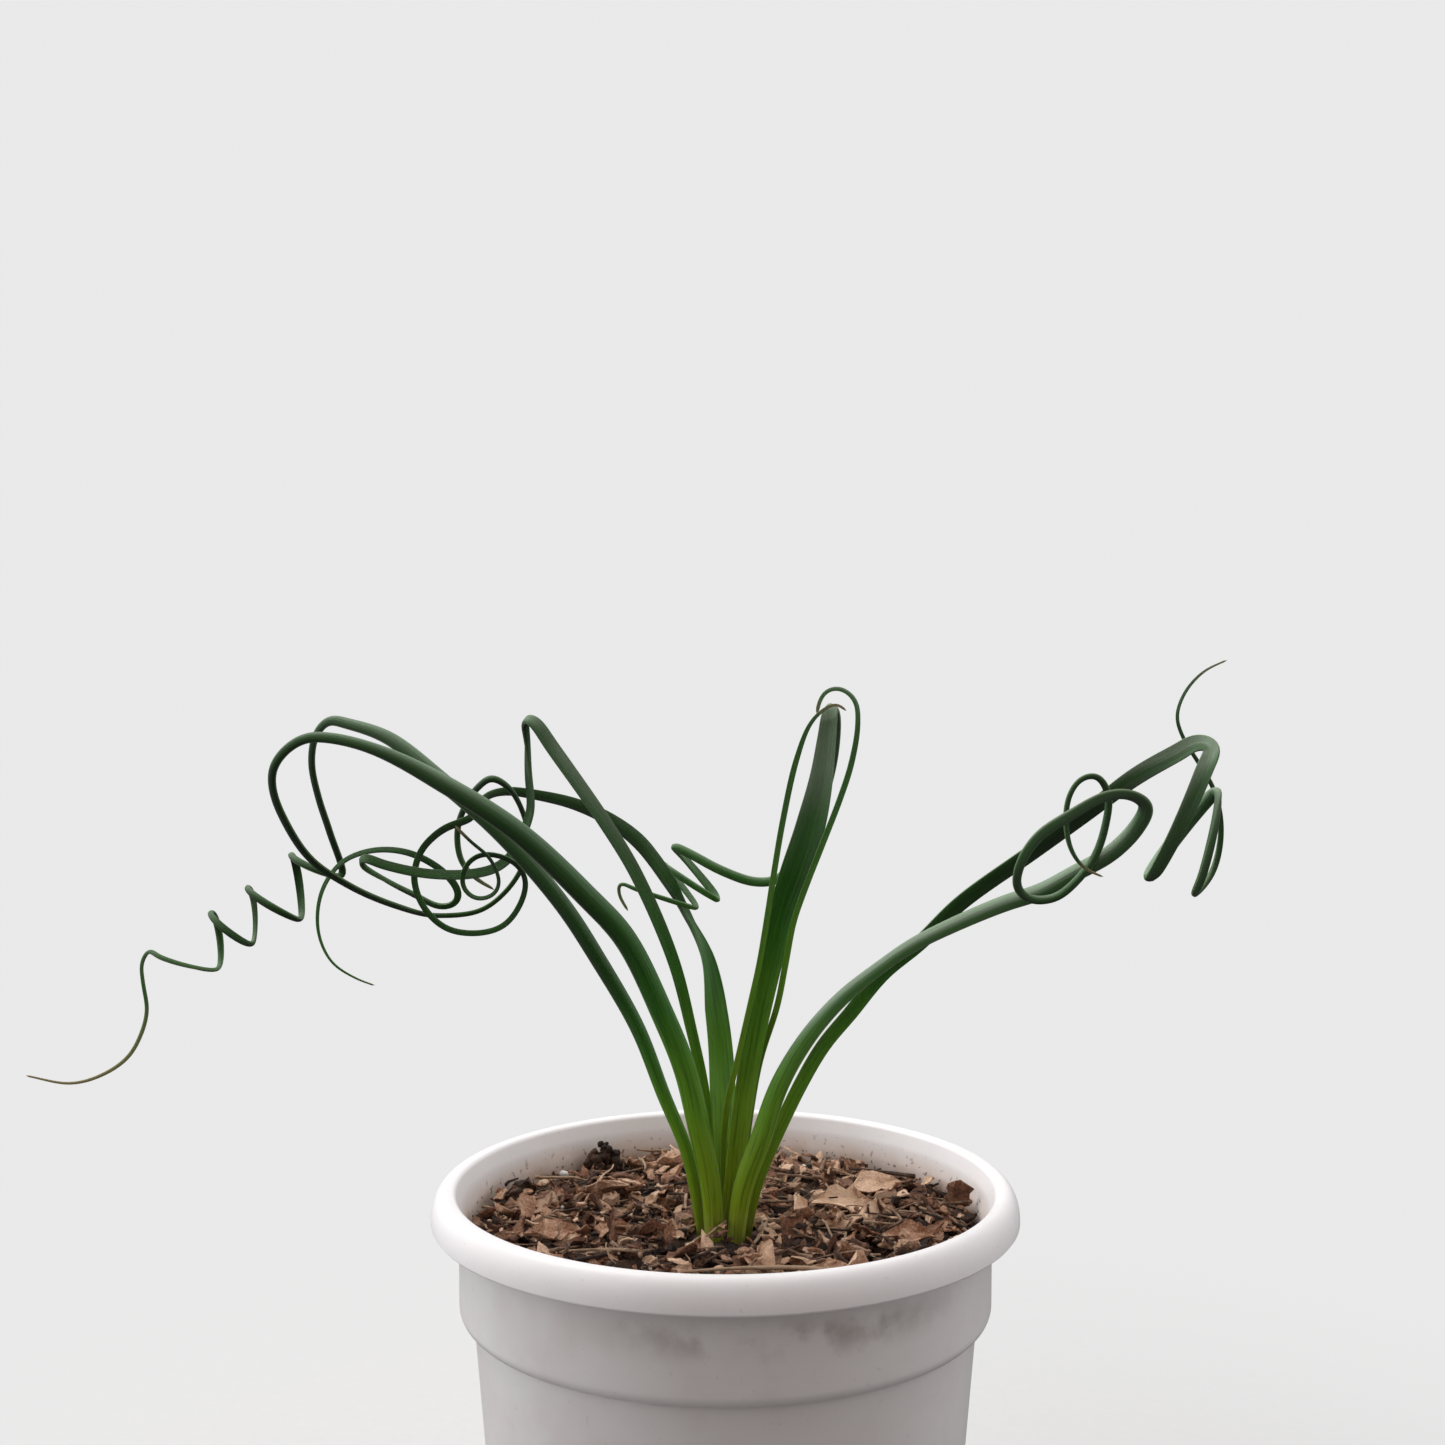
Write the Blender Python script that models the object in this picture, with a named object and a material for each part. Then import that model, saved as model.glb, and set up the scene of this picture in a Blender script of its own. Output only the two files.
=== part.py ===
"""A potted albuca: nine curling leaves on a bulb, in bark and leaf mulch over soil, in a plain plastic pot.

The frame's origin is the centre of the pot's underside, with +Z up and -Y towards the front.
Sizes are in millimetres and the meshes are scaled to metres by MM.
"""

import math
import random

import bmesh
import bpy
import numpy as np
from mathutils import Matrix, Vector

MM = 0.001
GAP = 0.3

# Pot: overall sizes, wall, rolled lip, upper band with its shoulder, drainage.
POT_HEIGHT = 112.0
LIP_RADIUS = 65.3
BASE_RADIUS = 49.5
POT_WALL = 1.6
FLOOR_THICKNESS = 2.0
LIP_WIDTH = 6.1
LIP_DEPTH = 7.2
BAND_HEIGHT = 28.4
STEP_WIDTH = 3.2
HOLE_COUNT = 6
HOLE_RADIUS = 3.5
HOLE_RING = 30.0
HOLE_TURN = 0.37
ROUND_SEGMENTS = 48

# Soil, and where the plant stands in it.
SOIL_BELOW_RIM = 12.0
SOIL_DOME = 1.2
CROWN_X = 0.0
CROWN_Y = -5.0

# Bulb: the flat-topped neck that carries the leaves, and the round body below it.
NECK_RADIUS = 7.4
NECK_LENGTH = 8.0
BULB_RADIUS = 15.0
BULB_HEIGHT = 34.0
PLATE_RADIUS = 6.0

# Leaves: widths below are multiplied by LEAF_WIDTH_SCALE, and the crown spreads with it.
LEAF_WIDTH_SCALE = 1.0
LEAF_THICKNESS = 0.6
LEAF_THICKNESS_SHARE = 0.2
LEAF_STEP = 5.6
TURN_SAMPLES = 5
FACE_EASE = 0.25
CROWN_SPREAD_HEIGHT = 60.0

# Mulch: dart-thrown pieces, their shortest and longest length and width, and the space round the crown.
MULCH_PIECES = 34
MULCH_THROWS = 6000
MULCH_LENGTH = {"bark": (9.0, 15.0), "leaf_litter": (11.0, 17.0), "twig": (11.0, 17.0)}
MULCH_WIDTH = {"bark": (6.0, 10.0), "leaf_litter": (7.0, 11.0), "twig": (1.4, 2.2)}
MULCH_CURL = {"bark": 0.3, "leaf_litter": 0.9, "twig": 0.0}
BARK_THICKNESS = 1.3
DRY_LEAF_THICKNESS = 0.7
MULCH_LEAN = 9.0
MULCH_SEED = 11
CROWN_CLEARANCE = 3.0

soil_top = POT_HEIGHT - SOIL_BELOW_RIM


# ---------------------------------------------------------------- scene and mesh helpers
def clear_scene():
    for obj in list(bpy.data.objects):
        bpy.data.objects.remove(obj, do_unlink=True)


def material(name, colour, roughness, metallic=0.0):
    """A Principled material of one colour."""
    mat = bpy.data.materials.new(name)
    mat.use_nodes = True
    shader = mat.node_tree.nodes["Principled BSDF"]
    shader.inputs["Base Color"].default_value = (*colour, 1.0)
    shader.inputs["Roughness"].default_value = roughness
    shader.inputs["Metallic"].default_value = metallic
    return mat


def mesh_object(name, points, faces, mat, smooth=True):
    """An object from points in millimetres, with its normals facing out."""
    mesh = bpy.data.meshes.new(name)
    mesh.from_pydata([tuple(float(c) * MM for c in p) for p in points], [], faces)
    bm = bmesh.new()
    bm.from_mesh(mesh)
    bmesh.ops.recalc_face_normals(bm, faces=bm.faces)
    bm.to_mesh(mesh)
    bm.free()
    mesh.materials.append(mat)
    if smooth:
        mesh.shade_smooth()
        mesh.set_sharp_from_angle(angle=math.radians(40))
    obj = bpy.data.objects.new(name, mesh)
    bpy.context.scene.collection.objects.link(obj)
    return obj


def turned(name, profile, mat, centre=(0.0, 0.0), segments=ROUND_SEGMENTS):
    """Turns a closed profile of (radius, height) about a vertical axis; radius 0 closes on the axis."""
    points, rings = [], []
    for radius, height in profile:
        if radius == 0:
            rings.append([len(points)] * segments)
            points.append((centre[0], centre[1], height))
            continue
        rings.append(list(range(len(points), len(points) + segments)))
        for k in range(segments):
            angle = 2 * math.pi * k / segments
            points.append(
                (centre[0] + radius * math.cos(angle), centre[1] + radius * math.sin(angle), height)
            )
    faces = []
    loops = rings if profile[0][0] == 0 else rings + [rings[0]]
    for lower, upper in zip(loops, loops[1:]):
        for k in range(segments):
            n = (k + 1) % segments
            corners = dict.fromkeys([lower[k], lower[n], upper[n], upper[k]])
            if len(corners) > 2:
                faces.append(list(corners))
    return mesh_object(name, points, faces, mat)


def cut(target, cutter):
    """Subtracts one object from another, and keeps the cutter out of the model."""
    cutter.hide_render = True
    cutter.display_type = "WIRE"
    step = target.modifiers.new("cut_" + cutter.name, "BOOLEAN")
    step.operation = "DIFFERENCE"
    step.object = cutter


def arc(centre, radius, start, end, steps):
    """Points of an arc in the profile plane, angles in degrees from +radius towards +height."""
    return [
        (
            centre[0] + radius * math.cos(math.radians(start + (end - start) * i / steps)),
            centre[1] + radius * math.sin(math.radians(start + (end - start) * i / steps)),
        )
        for i in range(steps + 1)
    ]


# ---------------------------------------------------------------- pot
band_radius = LIP_RADIUS - LIP_WIDTH
step_height = POT_HEIGHT - BAND_HEIGHT
body_radius = band_radius - STEP_WIDTH
shoulder = STEP_WIDTH


def body_outer(height):
    """Outer radius of the tapered lower body at a height."""
    return BASE_RADIUS + (body_radius - BASE_RADIUS) * height / step_height


def pot_inner(height):
    """Inner radius of the pot at a height, which the soil follows."""
    if height < step_height:
        return body_outer(height) - POT_WALL
    rise = min(1.0, (height - step_height) / shoulder)
    return body_outer(step_height) - POT_WALL + STEP_WIDTH * math.sin(rise * math.pi / 2)


def build_pot(mat):
    """One moulded shell: lip that turns over and down, band, rounded shoulder, tapered body, flat floor."""
    top, lip_round, edge = POT_HEIGHT, 1.4, 1.2
    skirt = 1.6
    lip_bottom = top - LIP_DEPTH
    outer = [(LIP_RADIUS, lip_bottom)]
    outer += arc((LIP_RADIUS - lip_round, top - lip_round), lip_round, 0, 90, 3)
    mouth = band_radius + 0.5
    inner = arc((mouth + edge, top - edge), edge, 90, 165, 2)
    inner += [
        (band_radius - POT_WALL, top - 8.0),
        (band_radius - POT_WALL, step_height + shoulder),
        (band_radius - POT_WALL - STEP_WIDTH * 0.3, step_height + shoulder * 0.5),
        (body_outer(step_height) - POT_WALL, step_height),
        (body_outer(FLOOR_THICKNESS) - POT_WALL, FLOOR_THICKNESS + 1.0),
        (body_outer(FLOOR_THICKNESS) - POT_WALL - 1.0, FLOOR_THICKNESS),
        (0, FLOOR_THICKNESS),
    ]
    under = [(0, 0), (BASE_RADIUS - 1.0, 0), (BASE_RADIUS, 1.0), (body_outer(step_height), step_height)]
    under += arc((band_radius - shoulder, step_height + shoulder), shoulder, -60, 0, 3)
    under += [
        (band_radius, lip_bottom - 4.0),
        (band_radius, top - skirt - 0.6),
        (band_radius + 0.8, top - skirt),
        (LIP_RADIUS - skirt - 0.6, top - skirt),
        (LIP_RADIUS - skirt, top - skirt - 0.8),
        (LIP_RADIUS - skirt, lip_bottom),
    ]
    profile = [(0, FLOOR_THICKNESS)] + inner[-2::-1] + outer[::-1] + under[::-1]
    pot = turned("pot", profile, mat)
    for k in range(HOLE_COUNT):
        angle = 2 * math.pi * (k + HOLE_TURN) / HOLE_COUNT
        place = (HOLE_RING * math.cos(angle), HOLE_RING * math.sin(angle))
        drill = [(0, -2), (HOLE_RADIUS, -2), (HOLE_RADIUS, FLOOR_THICKNESS + 2), (0, FLOOR_THICKNESS + 2)]
        cut(pot, turned(f"hole_cutter_{k}", drill, mat, place, segments=12))
    return pot


# ---------------------------------------------------------------- bulb and soil
def crown_reach():
    """How far the leaves' feet reach from the crown's axis."""
    return max(
        LEAF_WIDTH_SCALE * (math.hypot(*route[0][:2]) + WIDTHS[name][0][1] / 2)
        for name, route in ROUTES.items()
    )


def bulb_profile(grow, neck=NECK_RADIUS):
    """The bulb's outline from basal plate to neck, grown outwards by a clearance for the soil's cut."""
    neck_foot = soil_top - NECK_LENGTH
    middle = neck_foot - BULB_HEIGHT * 0.45
    foot = neck_foot - BULB_HEIGHT
    top = soil_top - GAP if grow == 0 else soil_top + 10.0
    return [
        (0, foot - grow),
        (PLATE_RADIUS + grow, foot - grow),
        (BULB_RADIUS * 0.75 + grow, foot + BULB_HEIGHT * 0.22),
        (BULB_RADIUS + grow, middle),
        (BULB_RADIUS * 0.82 + grow, middle + BULB_HEIGHT * 0.25),
        (neck + grow, neck_foot),
        (neck + grow, top),
        (0, top),
    ]


def soil_surface(radius):
    """Height of the soil at a distance from the pot's axis: a low dome."""
    return soil_top + SOIL_DOME * (1 - (radius / (band_radius - POT_WALL)) ** 2)


def build_soil(mat):
    """The root ball's fill: follows the pot's wall and floor at a gap, with a socket for the bulb."""
    edge = pot_inner(soil_top) - GAP
    profile = [
        (0, FLOOR_THICKNESS + GAP),
        (body_outer(FLOOR_THICKNESS) - POT_WALL - 1.0 - GAP, FLOOR_THICKNESS + GAP),
        (body_outer(FLOOR_THICKNESS) - POT_WALL - 2 * GAP, FLOOR_THICKNESS + 2.0),
        (body_outer(step_height) - POT_WALL - GAP, step_height),
        (edge - STEP_WIDTH * 0.3, step_height + shoulder * 0.5 + 2 * GAP),
        (edge, step_height + shoulder + 2 * GAP),
        (edge, soil_surface(edge)),
        (edge * 0.6, soil_surface(edge * 0.6)),
        (0, soil_surface(0)),
    ]
    soil = turned("soil", profile, mat)
    crown = (CROWN_X, CROWN_Y)
    socket = bulb_profile(GAP, max(NECK_RADIUS, crown_reach()))
    cut(soil, turned("bulb_socket_cutter", socket, mat, crown, segments=32))
    return soil


# ---------------------------------------------------------------- leaves
# Each route starts on the crown and lists (across, back, up) from it.
ROUTES = {
    "leaf_left_corkscrew": [
        (-4.7, -1.5, 0), (-6.5, -1.5, 11.5), (-8.5, -2, 21), (-13.5, -2, 33.5), (-19, -2, 48),
        (-27.5, -3, 63.5), (-35.5, -3, 76), (-48.5, -2, 91), (-62.5, 1, 103), (-74, 5, 111.5),
        (-84, 9, 114.5), (-88.5, 11, 115), (-92, 13, 111.5), (-93.5, 15, 105), (-92.5, 17, 97),
        (-90.5, 19, 89),
    ],
    "leaf_left_arch": [
        (-2.3, -4.4, 0), (-3.1, -4.6, 13), (-5.5, -6, 26), (-8.5, -8, 40), (-13, -11, 52.5),
        (-21, -14, 70), (-29, -16, 79.5), (-43, -19, 93.5), (-59, -22, 104.5), (-71.5, -23, 111),
        (-81, -22, 113.5), (-87, -21, 113.5), (-91.5, -20, 111), (-94.5, -19, 107),
        (-95, -17, 101.5), (-92.5, -15, 94), (-88.5, -11, 86.5), (-81.5, -5, 80), (-73, 5, 74),
        (-65, 16, 70), (-56, 20, 70.5), (-50, 21, 75), (-46, 21, 81.5), (-45, 19, 89),
        (-46.5, 16, 95.5), (-49, 13, 100), (-52.5, 12, 102), (-55.5, 13.5, 100), (-59, 17.2, 95.5),
        (-61.3, 19, 89.5), (-60.5, 18.5, 82.5), (-57, 17, 78.5), (-52.5, 16, 76),
    ],
    "leaf_sharp_bend": [
        (-2.8, 1.4, 0), (-3.5, 0, 20.5), (-4.5, -2, 33.5), (-7.5, -3, 48), (-11.5, -3, 63.5),
        (-19.5, -2, 82), (-26.5, -1, 93.5), (-38, 2, 109.5), (-42, 3, 115), (-44, 5, 115.5),
        (-44, 7, 112), (-43.5, 7, 103), (-43, 7, 95.5), (-44.5, 7, 90.5), (-47, 8, 85.5),
        (-51, 9, 82), (-57, 9, 80.5), (-67, 10, 80.5), (-76.5, 10, 82.5), (-81, 10.5, 84),
        (-82, 12.5, 82.5), (-77.5, 14, 79), (-70.5, 16, 75), (-65, 18, 72), (-61.5, 18, 73),
        (-61, 17.5, 75.5), (-64.5, 16, 80.5), (-71.5, 15, 84.5), (-79.5, 16, 85),
        (-86.5, 17, 82.5), (-90.5, 17, 78), (-92.5, 17, 72.5), (-92.5, 17, 65.5),
        (-89.5, 16, 59.5), (-84, 15, 56), (-79.5, 14, 54.5),
    ],
    "leaf_ribbon_spiral": [
        (-0.5, 4.4, 0), (-0.5, 8, 22.5), (-1, 14, 37.5), (-2, 16, 47), (-4.5, 20, 60.5),
        (-9, 21.5, 69.5), (-12.5, 17, 77), (-19, 19, 86), (-26.5, 21, 91.5), (-34.5, 22, 95),
        (-43.5, 23, 97), (-50, 21.5, 98), (-54.3, 18.5, 97.2), (-56.3, 16, 94.8), (-57.2, 14.6, 92.8),
        (-59.5, 13.6, 91.8), (-62.5, 13, 90.8), (-65.8, 13, 88.5), (-68.7, 13, 85), (-70, 12, 79),
        (-67.5, 11, 72.5), (-62.5, 11, 68), (-55.5, 11, 67),
        (-49.5, 10, 69), (-45.5, 9, 74.5), (-44.5, 8, 79.5), (-46.5, 6, 83.5), (-50.5, 5, 85.5),
        (-54.5, 5, 85.5), (-57.5, 4, 83), (-58, 4, 78.5), (-55, 3, 76), (-51, 2, 77),
        (-49.5, 1, 80), (-51.5, 0, 85.5), (-55.5, 0, 89), (-59, 0, 92.5),
    ],
    "leaf_broad_folded": [
        (0.4, -1.4, 0), (2.3, -3, 19), (5.2, -5, 41), (8.8, -6.4, 60), (12.2, -7, 74.5),
        (14.6, -7, 82), (18, -7, 92.5), (20.4, -7, 103), (21.7, -7, 112.5), (22.3, -7, 117.5),
        (23, -4.5, 118.8), (23.4, -2, 116.5), (23, 1, 107), (20.5, 5, 95.5), (16.5, 9, 85),
        (12, 12, 79), (6.5, 14, 78), (-1, 15, 80.5), (-8, 17, 84),
    ],
    "leaf_thin_left": [
        (-0.2, 1.4, 0), (-0.5, 0, 12), (-0.3, -1.5, 24), (0.6, -4.6, 33), (2.4, -7, 41.5), (5.6, -8.4, 56),
        (7.3, -9.2, 64), (9, -9.8, 74.5), (10.4, -10.3, 84), (12.2, -11.2, 95), (15, -12, 108),
        (18, -13, 116), (21, -13, 119), (23.5, -13, 120), (25.5, -13, 118.5),
    ],
    "leaf_thin_right": [
        (2.2, 1.4, 0), (4.2, 0, 18.5), (7.4, -2.6, 40.5), (11.2, -6, 54), (12.9, -8.2, 63.5),
        (14.6, -9.3, 73), (16.9, -10, 80), (21.2, -11.5, 91.5), (24.2, -12, 99.5), (26.6, -12, 107),
        (28, -12, 115.5), (27.5, -11, 120.5), (24.5, -10, 123), (21.5, -9.5, 122.5), (20, -9, 120),
        (19.5, -9, 117.5),
    ],
    "leaf_right_loops": [
        (2.1, -4.4, 0), (3.6, -6, 13), (7.3, -8, 24.5), (11.5, -10, 37.5), (17.5, -12, 48.5),
        (24.5, -13, 57), (32, -14, 63.5), (39.5, -15, 69), (49.5, -15, 74), (59, -15, 78),
        (66.5, -15, 80.5), (73.5, -16, 84.5), (81, -17, 89), (86, -18, 94.5), (87.5, -20, 99),
        (84, -22, 101.5), (78.5, -24, 101.5), (71, -25, 97.5), (64.5, -25, 93), (61, -24, 87),
        (61, -21, 82), (64.5, -18, 79), (69.5, -17.5, 79.5), (74, -18, 83.5), (77.5, -18, 88.5),
        (79.5, -18, 95), (80, -18, 101), (77.5, -19, 105), (74, -20, 104.5), (71.5, -21, 101),
        (71, -21, 95), (72, -22, 90), (74.5, -22, 86.5), (78.5, -22, 84.5),
    ],
    "leaf_right_coil": [
        (4.2, -0.8, 0), (6.8, -1, 13), (11.5, -1, 25), (17, -2, 37), (21.5, -3, 45), (27, -4, 52),
        (34, -5, 61), (42, -6, 68), (50.5, -6, 76.5), (66, -5, 87.5), (78, -4, 96),
        (88.5, -3, 103.5), (97.5, -3, 108.5), (102, -4, 111),
    ],
}

# Corkscrews: the turning points that the strand swings between, and how far it swings to the front.
TURNS = {
    "leaf_left_corkscrew": (4.5, [
        (-88, 24, 78), (-100.5, 25, 83), (-98, 23, 68), (-110.5, 24, 75.5), (-109, 22, 62.5),
        (-118.5, 22, 70), (-116.5, 20, 57), (-132, 19, 62),
    ]),
    "leaf_broad_folded": (-3.0, [
        (-12.5, 18, 86), (-1.5, 19, 73), (-15, 25, 81), (-6.3, 17.5, 71.5), (-24.5, 15, 78),
    ]),
    "leaf_right_coil": (4.0, [
        (105, -5, 111), (91.5, -5, 81.5), (107, -2, 100.5), (101.5, -3, 77.5),
    ]),
}

# The free ends after the corkscrews.
ENDS = {
    "leaf_left_corkscrew": [
        (-133.5, 18, 59), (-133, 17, 54), (-132, 16, 48.5), (-133, 15, 43.5), (-136, 14, 38),
        (-142, 13, 34), (-148.5, 12, 32.5), (-158, 11, 34.5),
    ],
    "leaf_broad_folded": [(-24, 14, 75), (-22, 14, 71.5)],
    "leaf_right_coil": [
        (106, 0, 81.5), (108, 1, 87), (108.5, 1.5, 94), (107, 2, 100.5), (104, 3, 106),
        (101, 4, 111), (99.5, 5, 116), (101.5, 6, 121.5), (105.5, 6, 126), (110.5, 6, 128.5),
    ],
}

# Width of each leaf as (share of its length, width), and its turn about itself as (share, degrees).
WIDTHS = {
    "leaf_left_corkscrew": [
        (0, 2.6), (0.08, 3.6), (0.2, 4.2), (0.33, 4.2), (0.4, 2.9), (0.46, 2.1), (0.78, 1.7),
        (0.93, 1.1), (1, 0.4),
    ],
    "leaf_left_arch": [
        (0, 4.2), (0.1, 5.2), (0.3, 4.9), (0.42, 4.4), (0.5, 2.6), (0.68, 2.0), (0.77, 1.3),
        (0.86, 1.3), (0.9, 1.8), (0.97, 1.6), (1, 0.6),
    ],
    "leaf_sharp_bend": [
        (0, 2.2), (0.12, 2.2), (0.25, 2.9), (0.4, 3.3), (0.5, 2.4), (0.68, 2.2), (0.82, 1.5), (1, 0.4),
    ],
    "leaf_ribbon_spiral": [
        (0, 3.6), (0.13, 6.0), (0.2, 5.2), (0.28, 3.0), (0.38, 3.6), (0.5, 2.2), (0.62, 1.5), (0.85, 1.2),
        (1, 0.7),
    ],
    "leaf_broad_folded": [
        (0, 3.8), (0.08, 4.2), (0.18, 4.8), (0.25, 5.4), (0.32, 6.8), (0.38, 6.8), (0.44, 4.4),
        (0.48, 3.4), (0.6, 2.4), (0.78, 2.0), (0.9, 1.6), (1, 0.6),
    ],
    "leaf_thin_left": [(0, 1.2), (0.3, 1.3), (0.85, 1.3), (1, 0.5)],
    "leaf_thin_right": [(0, 1.2), (0.3, 1.4), (0.8, 1.3), (1, 0.8)],
    "leaf_right_loops": [
        (0, 3.8), (0.1, 4.6), (0.3, 2.8), (0.42, 3.2), (0.56, 2.8), (0.66, 2.4), (0.74, 1.5), (0.95, 1.3),
        (1, 0.4),
    ],
    "leaf_right_coil": [
        (0, 2.4), (0.1, 3.2), (0.38, 4.4), (0.5, 3.6), (0.6, 2.9), (0.7, 2.3), (0.8, 1.5),
        (0.86, 0.9), (1, 0.3),
    ],
}
TWISTS = {
    "leaf_left_corkscrew": [(0, 10), (0.3, -35), (1, -35)],
    "leaf_left_arch": [(0, 0), (0.3, -40), (1, -40)],
    "leaf_sharp_bend": [(0, 0), (0.3, -20), (1, -20)],
    "leaf_ribbon_spiral": [(0, 0), (0.2, 10), (0.28, 75), (0.36, 0), (1, 0)],
    "leaf_broad_folded": [(0, 0), (1, 0)],
    "leaf_thin_left": [(0, 0), (1, 0)],
    "leaf_thin_right": [(0, 0), (1, 0)],
    "leaf_right_loops": [(0, 0), (0.3, 35), (1, 35)],
    "leaf_right_coil": [(0, 0), (0.3, 30), (1, 30)],
}


def swing(turning, reach):
    """Half-turns of a corkscrew: from one turning point to the next, bowing front and back by turns."""
    points = []
    for k in range(len(turning) - 1):
        start, end = np.array(turning[k], float), np.array(turning[k + 1], float)
        side = -1.0 if k % 2 == 0 else 1.0
        for i in range(TURN_SAMPLES):
            t = (i + 0.5) / TURN_SAMPLES
            point = start + (end - start) * (1 - math.cos(math.pi * t)) / 2
            point[1] += side * reach * math.sin(math.pi * t)
            points.append(tuple(point))
    return points


def smooth_route(points):
    """A centripetal Catmull-Rom curve through the points, as points a fraction of a step apart."""
    p = np.array(points, float)
    p = np.vstack([2 * p[0] - p[1], p, 2 * p[-1] - p[-2]])
    fine = []
    for p0, p1, p2, p3 in zip(p, p[1:], p[2:], p[3:]):
        a, b, c = (max(math.sqrt(float(np.linalg.norm(v))), 0.1) for v in (p1 - p0, p2 - p1, p3 - p2))
        m1 = (p2 - p1) + b * ((p1 - p0) / a - (p2 - p0) / (a + b))
        m2 = (p2 - p1) + b * ((p3 - p2) / c - (p3 - p1) / (b + c))
        s = (np.arange(8) / 8)[:, None]
        fine.append(
            (2 * s**3 - 3 * s**2 + 1) * p1 + (s**3 - 2 * s**2 + s) * m1
            + (3 * s**2 - 2 * s**3) * p2 + (s**3 - s**2) * m2
        )
    return np.vstack(fine + [p[-2][None]])


def stations(curve, widths):
    """Points along the curve, closer together where the leaf is thin and so curls tighter."""
    run = np.concatenate([[0], np.cumsum(np.linalg.norm(np.diff(curve, axis=0), axis=1))])
    share, at = 0.0, [0.0]
    while share < 1:
        width = np.interp(share, *zip(*widths))
        share += LEAF_STEP * (0.35 + 0.13 * width) / run[-1]
        at.append(min(share, 1.0))
    at[-2:] = [1.0] if 1 - at[-2] < 0.4 * (at[-2] - at[-3]) else at[-2:]
    at = np.array(at)
    return at, np.stack([np.interp(at * run[-1], run, curve[:, i]) for i in range(3)], 1)


def frames(points):
    """Tangents and faces along the points: a face is carried on unturned, and eases to front or back."""
    tangents = np.gradient(points, axis=0)
    tangents /= np.linalg.norm(tangents, axis=1)[:, None]
    face = np.array((0.0, -1.0, 0.0))
    faces = []
    for tangent in tangents:
        face = face - tangent * (tangent @ face)
        face /= np.linalg.norm(face)
        side = -1.0 if face[1] < 0 else 1.0
        level = np.array((0.0, side, 0.0)) - tangent * (side * tangent[1])
        face = face + level * FACE_EASE
        face /= np.linalg.norm(face)
        faces.append(face)
    return tangents, faces


def build_leaf(name, mat):
    """A channelled strand: a six-cornered section with raised rims, carried along the leaf's route."""
    route = list(ROUTES[name])
    if name in TURNS:
        reach, turning = TURNS[name]
        route += swing(turning, reach)
        route += ENDS[name]
    base_spread = (LEAF_WIDTH_SCALE - 1) * np.array(route[0])
    curve = smooth_route(route)
    fade = np.clip(1 - curve[:, 2] / CROWN_SPREAD_HEIGHT, 0, 1) ** 2
    near = np.arange(len(curve)) < len(curve) // 2
    curve = curve + base_spread * (fade * near)[:, None]
    share, points = stations(curve, WIDTHS[name])
    tangents, faces_dir = frames(points)
    crown = Vector((CROWN_X, CROWN_Y, soil_top))
    verts, faces = [], []
    for s, point, tangent, face in zip(share, points, tangents, faces_dir):
        width = np.interp(s, *zip(*WIDTHS[name])) * LEAF_WIDTH_SCALE
        thick = min(LEAF_THICKNESS + LEAF_THICKNESS_SHARE * width, width)
        turn = Matrix.Rotation(math.radians(np.interp(s, *zip(*TWISTS[name]))), 3, Vector(tangent))
        up = turn @ Vector(face)
        across = Vector(tangent).cross(up).normalized()
        section = [
            (-0.5, 0.35), (-0.3, -0.35), (0.3, -0.35), (0.5, 0.35), (0.22, 0.12), (-0.22, 0.12),
        ]
        for u, v in section:
            verts.append(crown + Vector(point) + across * (u * width) + up * (v * thick))
    sides = 6
    for k in range(len(points) - 1):
        for i in range(sides):
            j = (i + 1) % sides
            a, b = k * sides, (k + 1) * sides
            faces.append([a + i, a + j, b + j, b + i])
    faces.append(list(range(sides)))
    last = (len(points) - 1) * sides
    faces.append(list(range(last, last + sides))[::-1])
    return mesh_object(name, verts, faces, mat)


# ---------------------------------------------------------------- mulch
def mulch_piece(name, kind, place, length, width, turn, lean, mat, rng):
    """A torn flat piece, longer than wide, with an uneven outline and a slight curl, laid on the soil."""
    corners = 8 if kind != "twig" else 6
    outline = []
    for k in range(corners):
        angle = 2 * math.pi * k / corners
        reach = rng.uniform(0.82, 1.0)
        outline.append((length / 2 * reach * math.cos(angle), width / 2 * reach * math.sin(angle)))
    thick = {"leaf_litter": DRY_LEAF_THICKNESS, "bark": BARK_THICKNESS, "twig": width * 0.8}[kind]
    rotation = Matrix.Rotation(turn, 3, "Z") @ Matrix.Rotation(lean, 3, "X")
    verts = []
    for level in (0, thick):
        for x, y in outline:
            bend = MULCH_CURL[kind] * (2 * y / width) ** 2
            verts.append(rotation @ Vector((x, y, level + bend)))
    lift = max(
        soil_surface(math.hypot(place[0] + v.x, place[1] + v.y)) - v.z for v in verts
    )
    verts = [v + Vector((place[0], place[1], lift + GAP)) for v in verts]
    under, over = list(range(corners)), list(range(corners, 2 * corners))
    faces = [under[::-1], over]
    for k in range(corners):
        n = (k + 1) % corners
        faces.append([under[k], under[n], over[n], over[k]])
    return mesh_object(name, verts, faces, mat, smooth=False)


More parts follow.
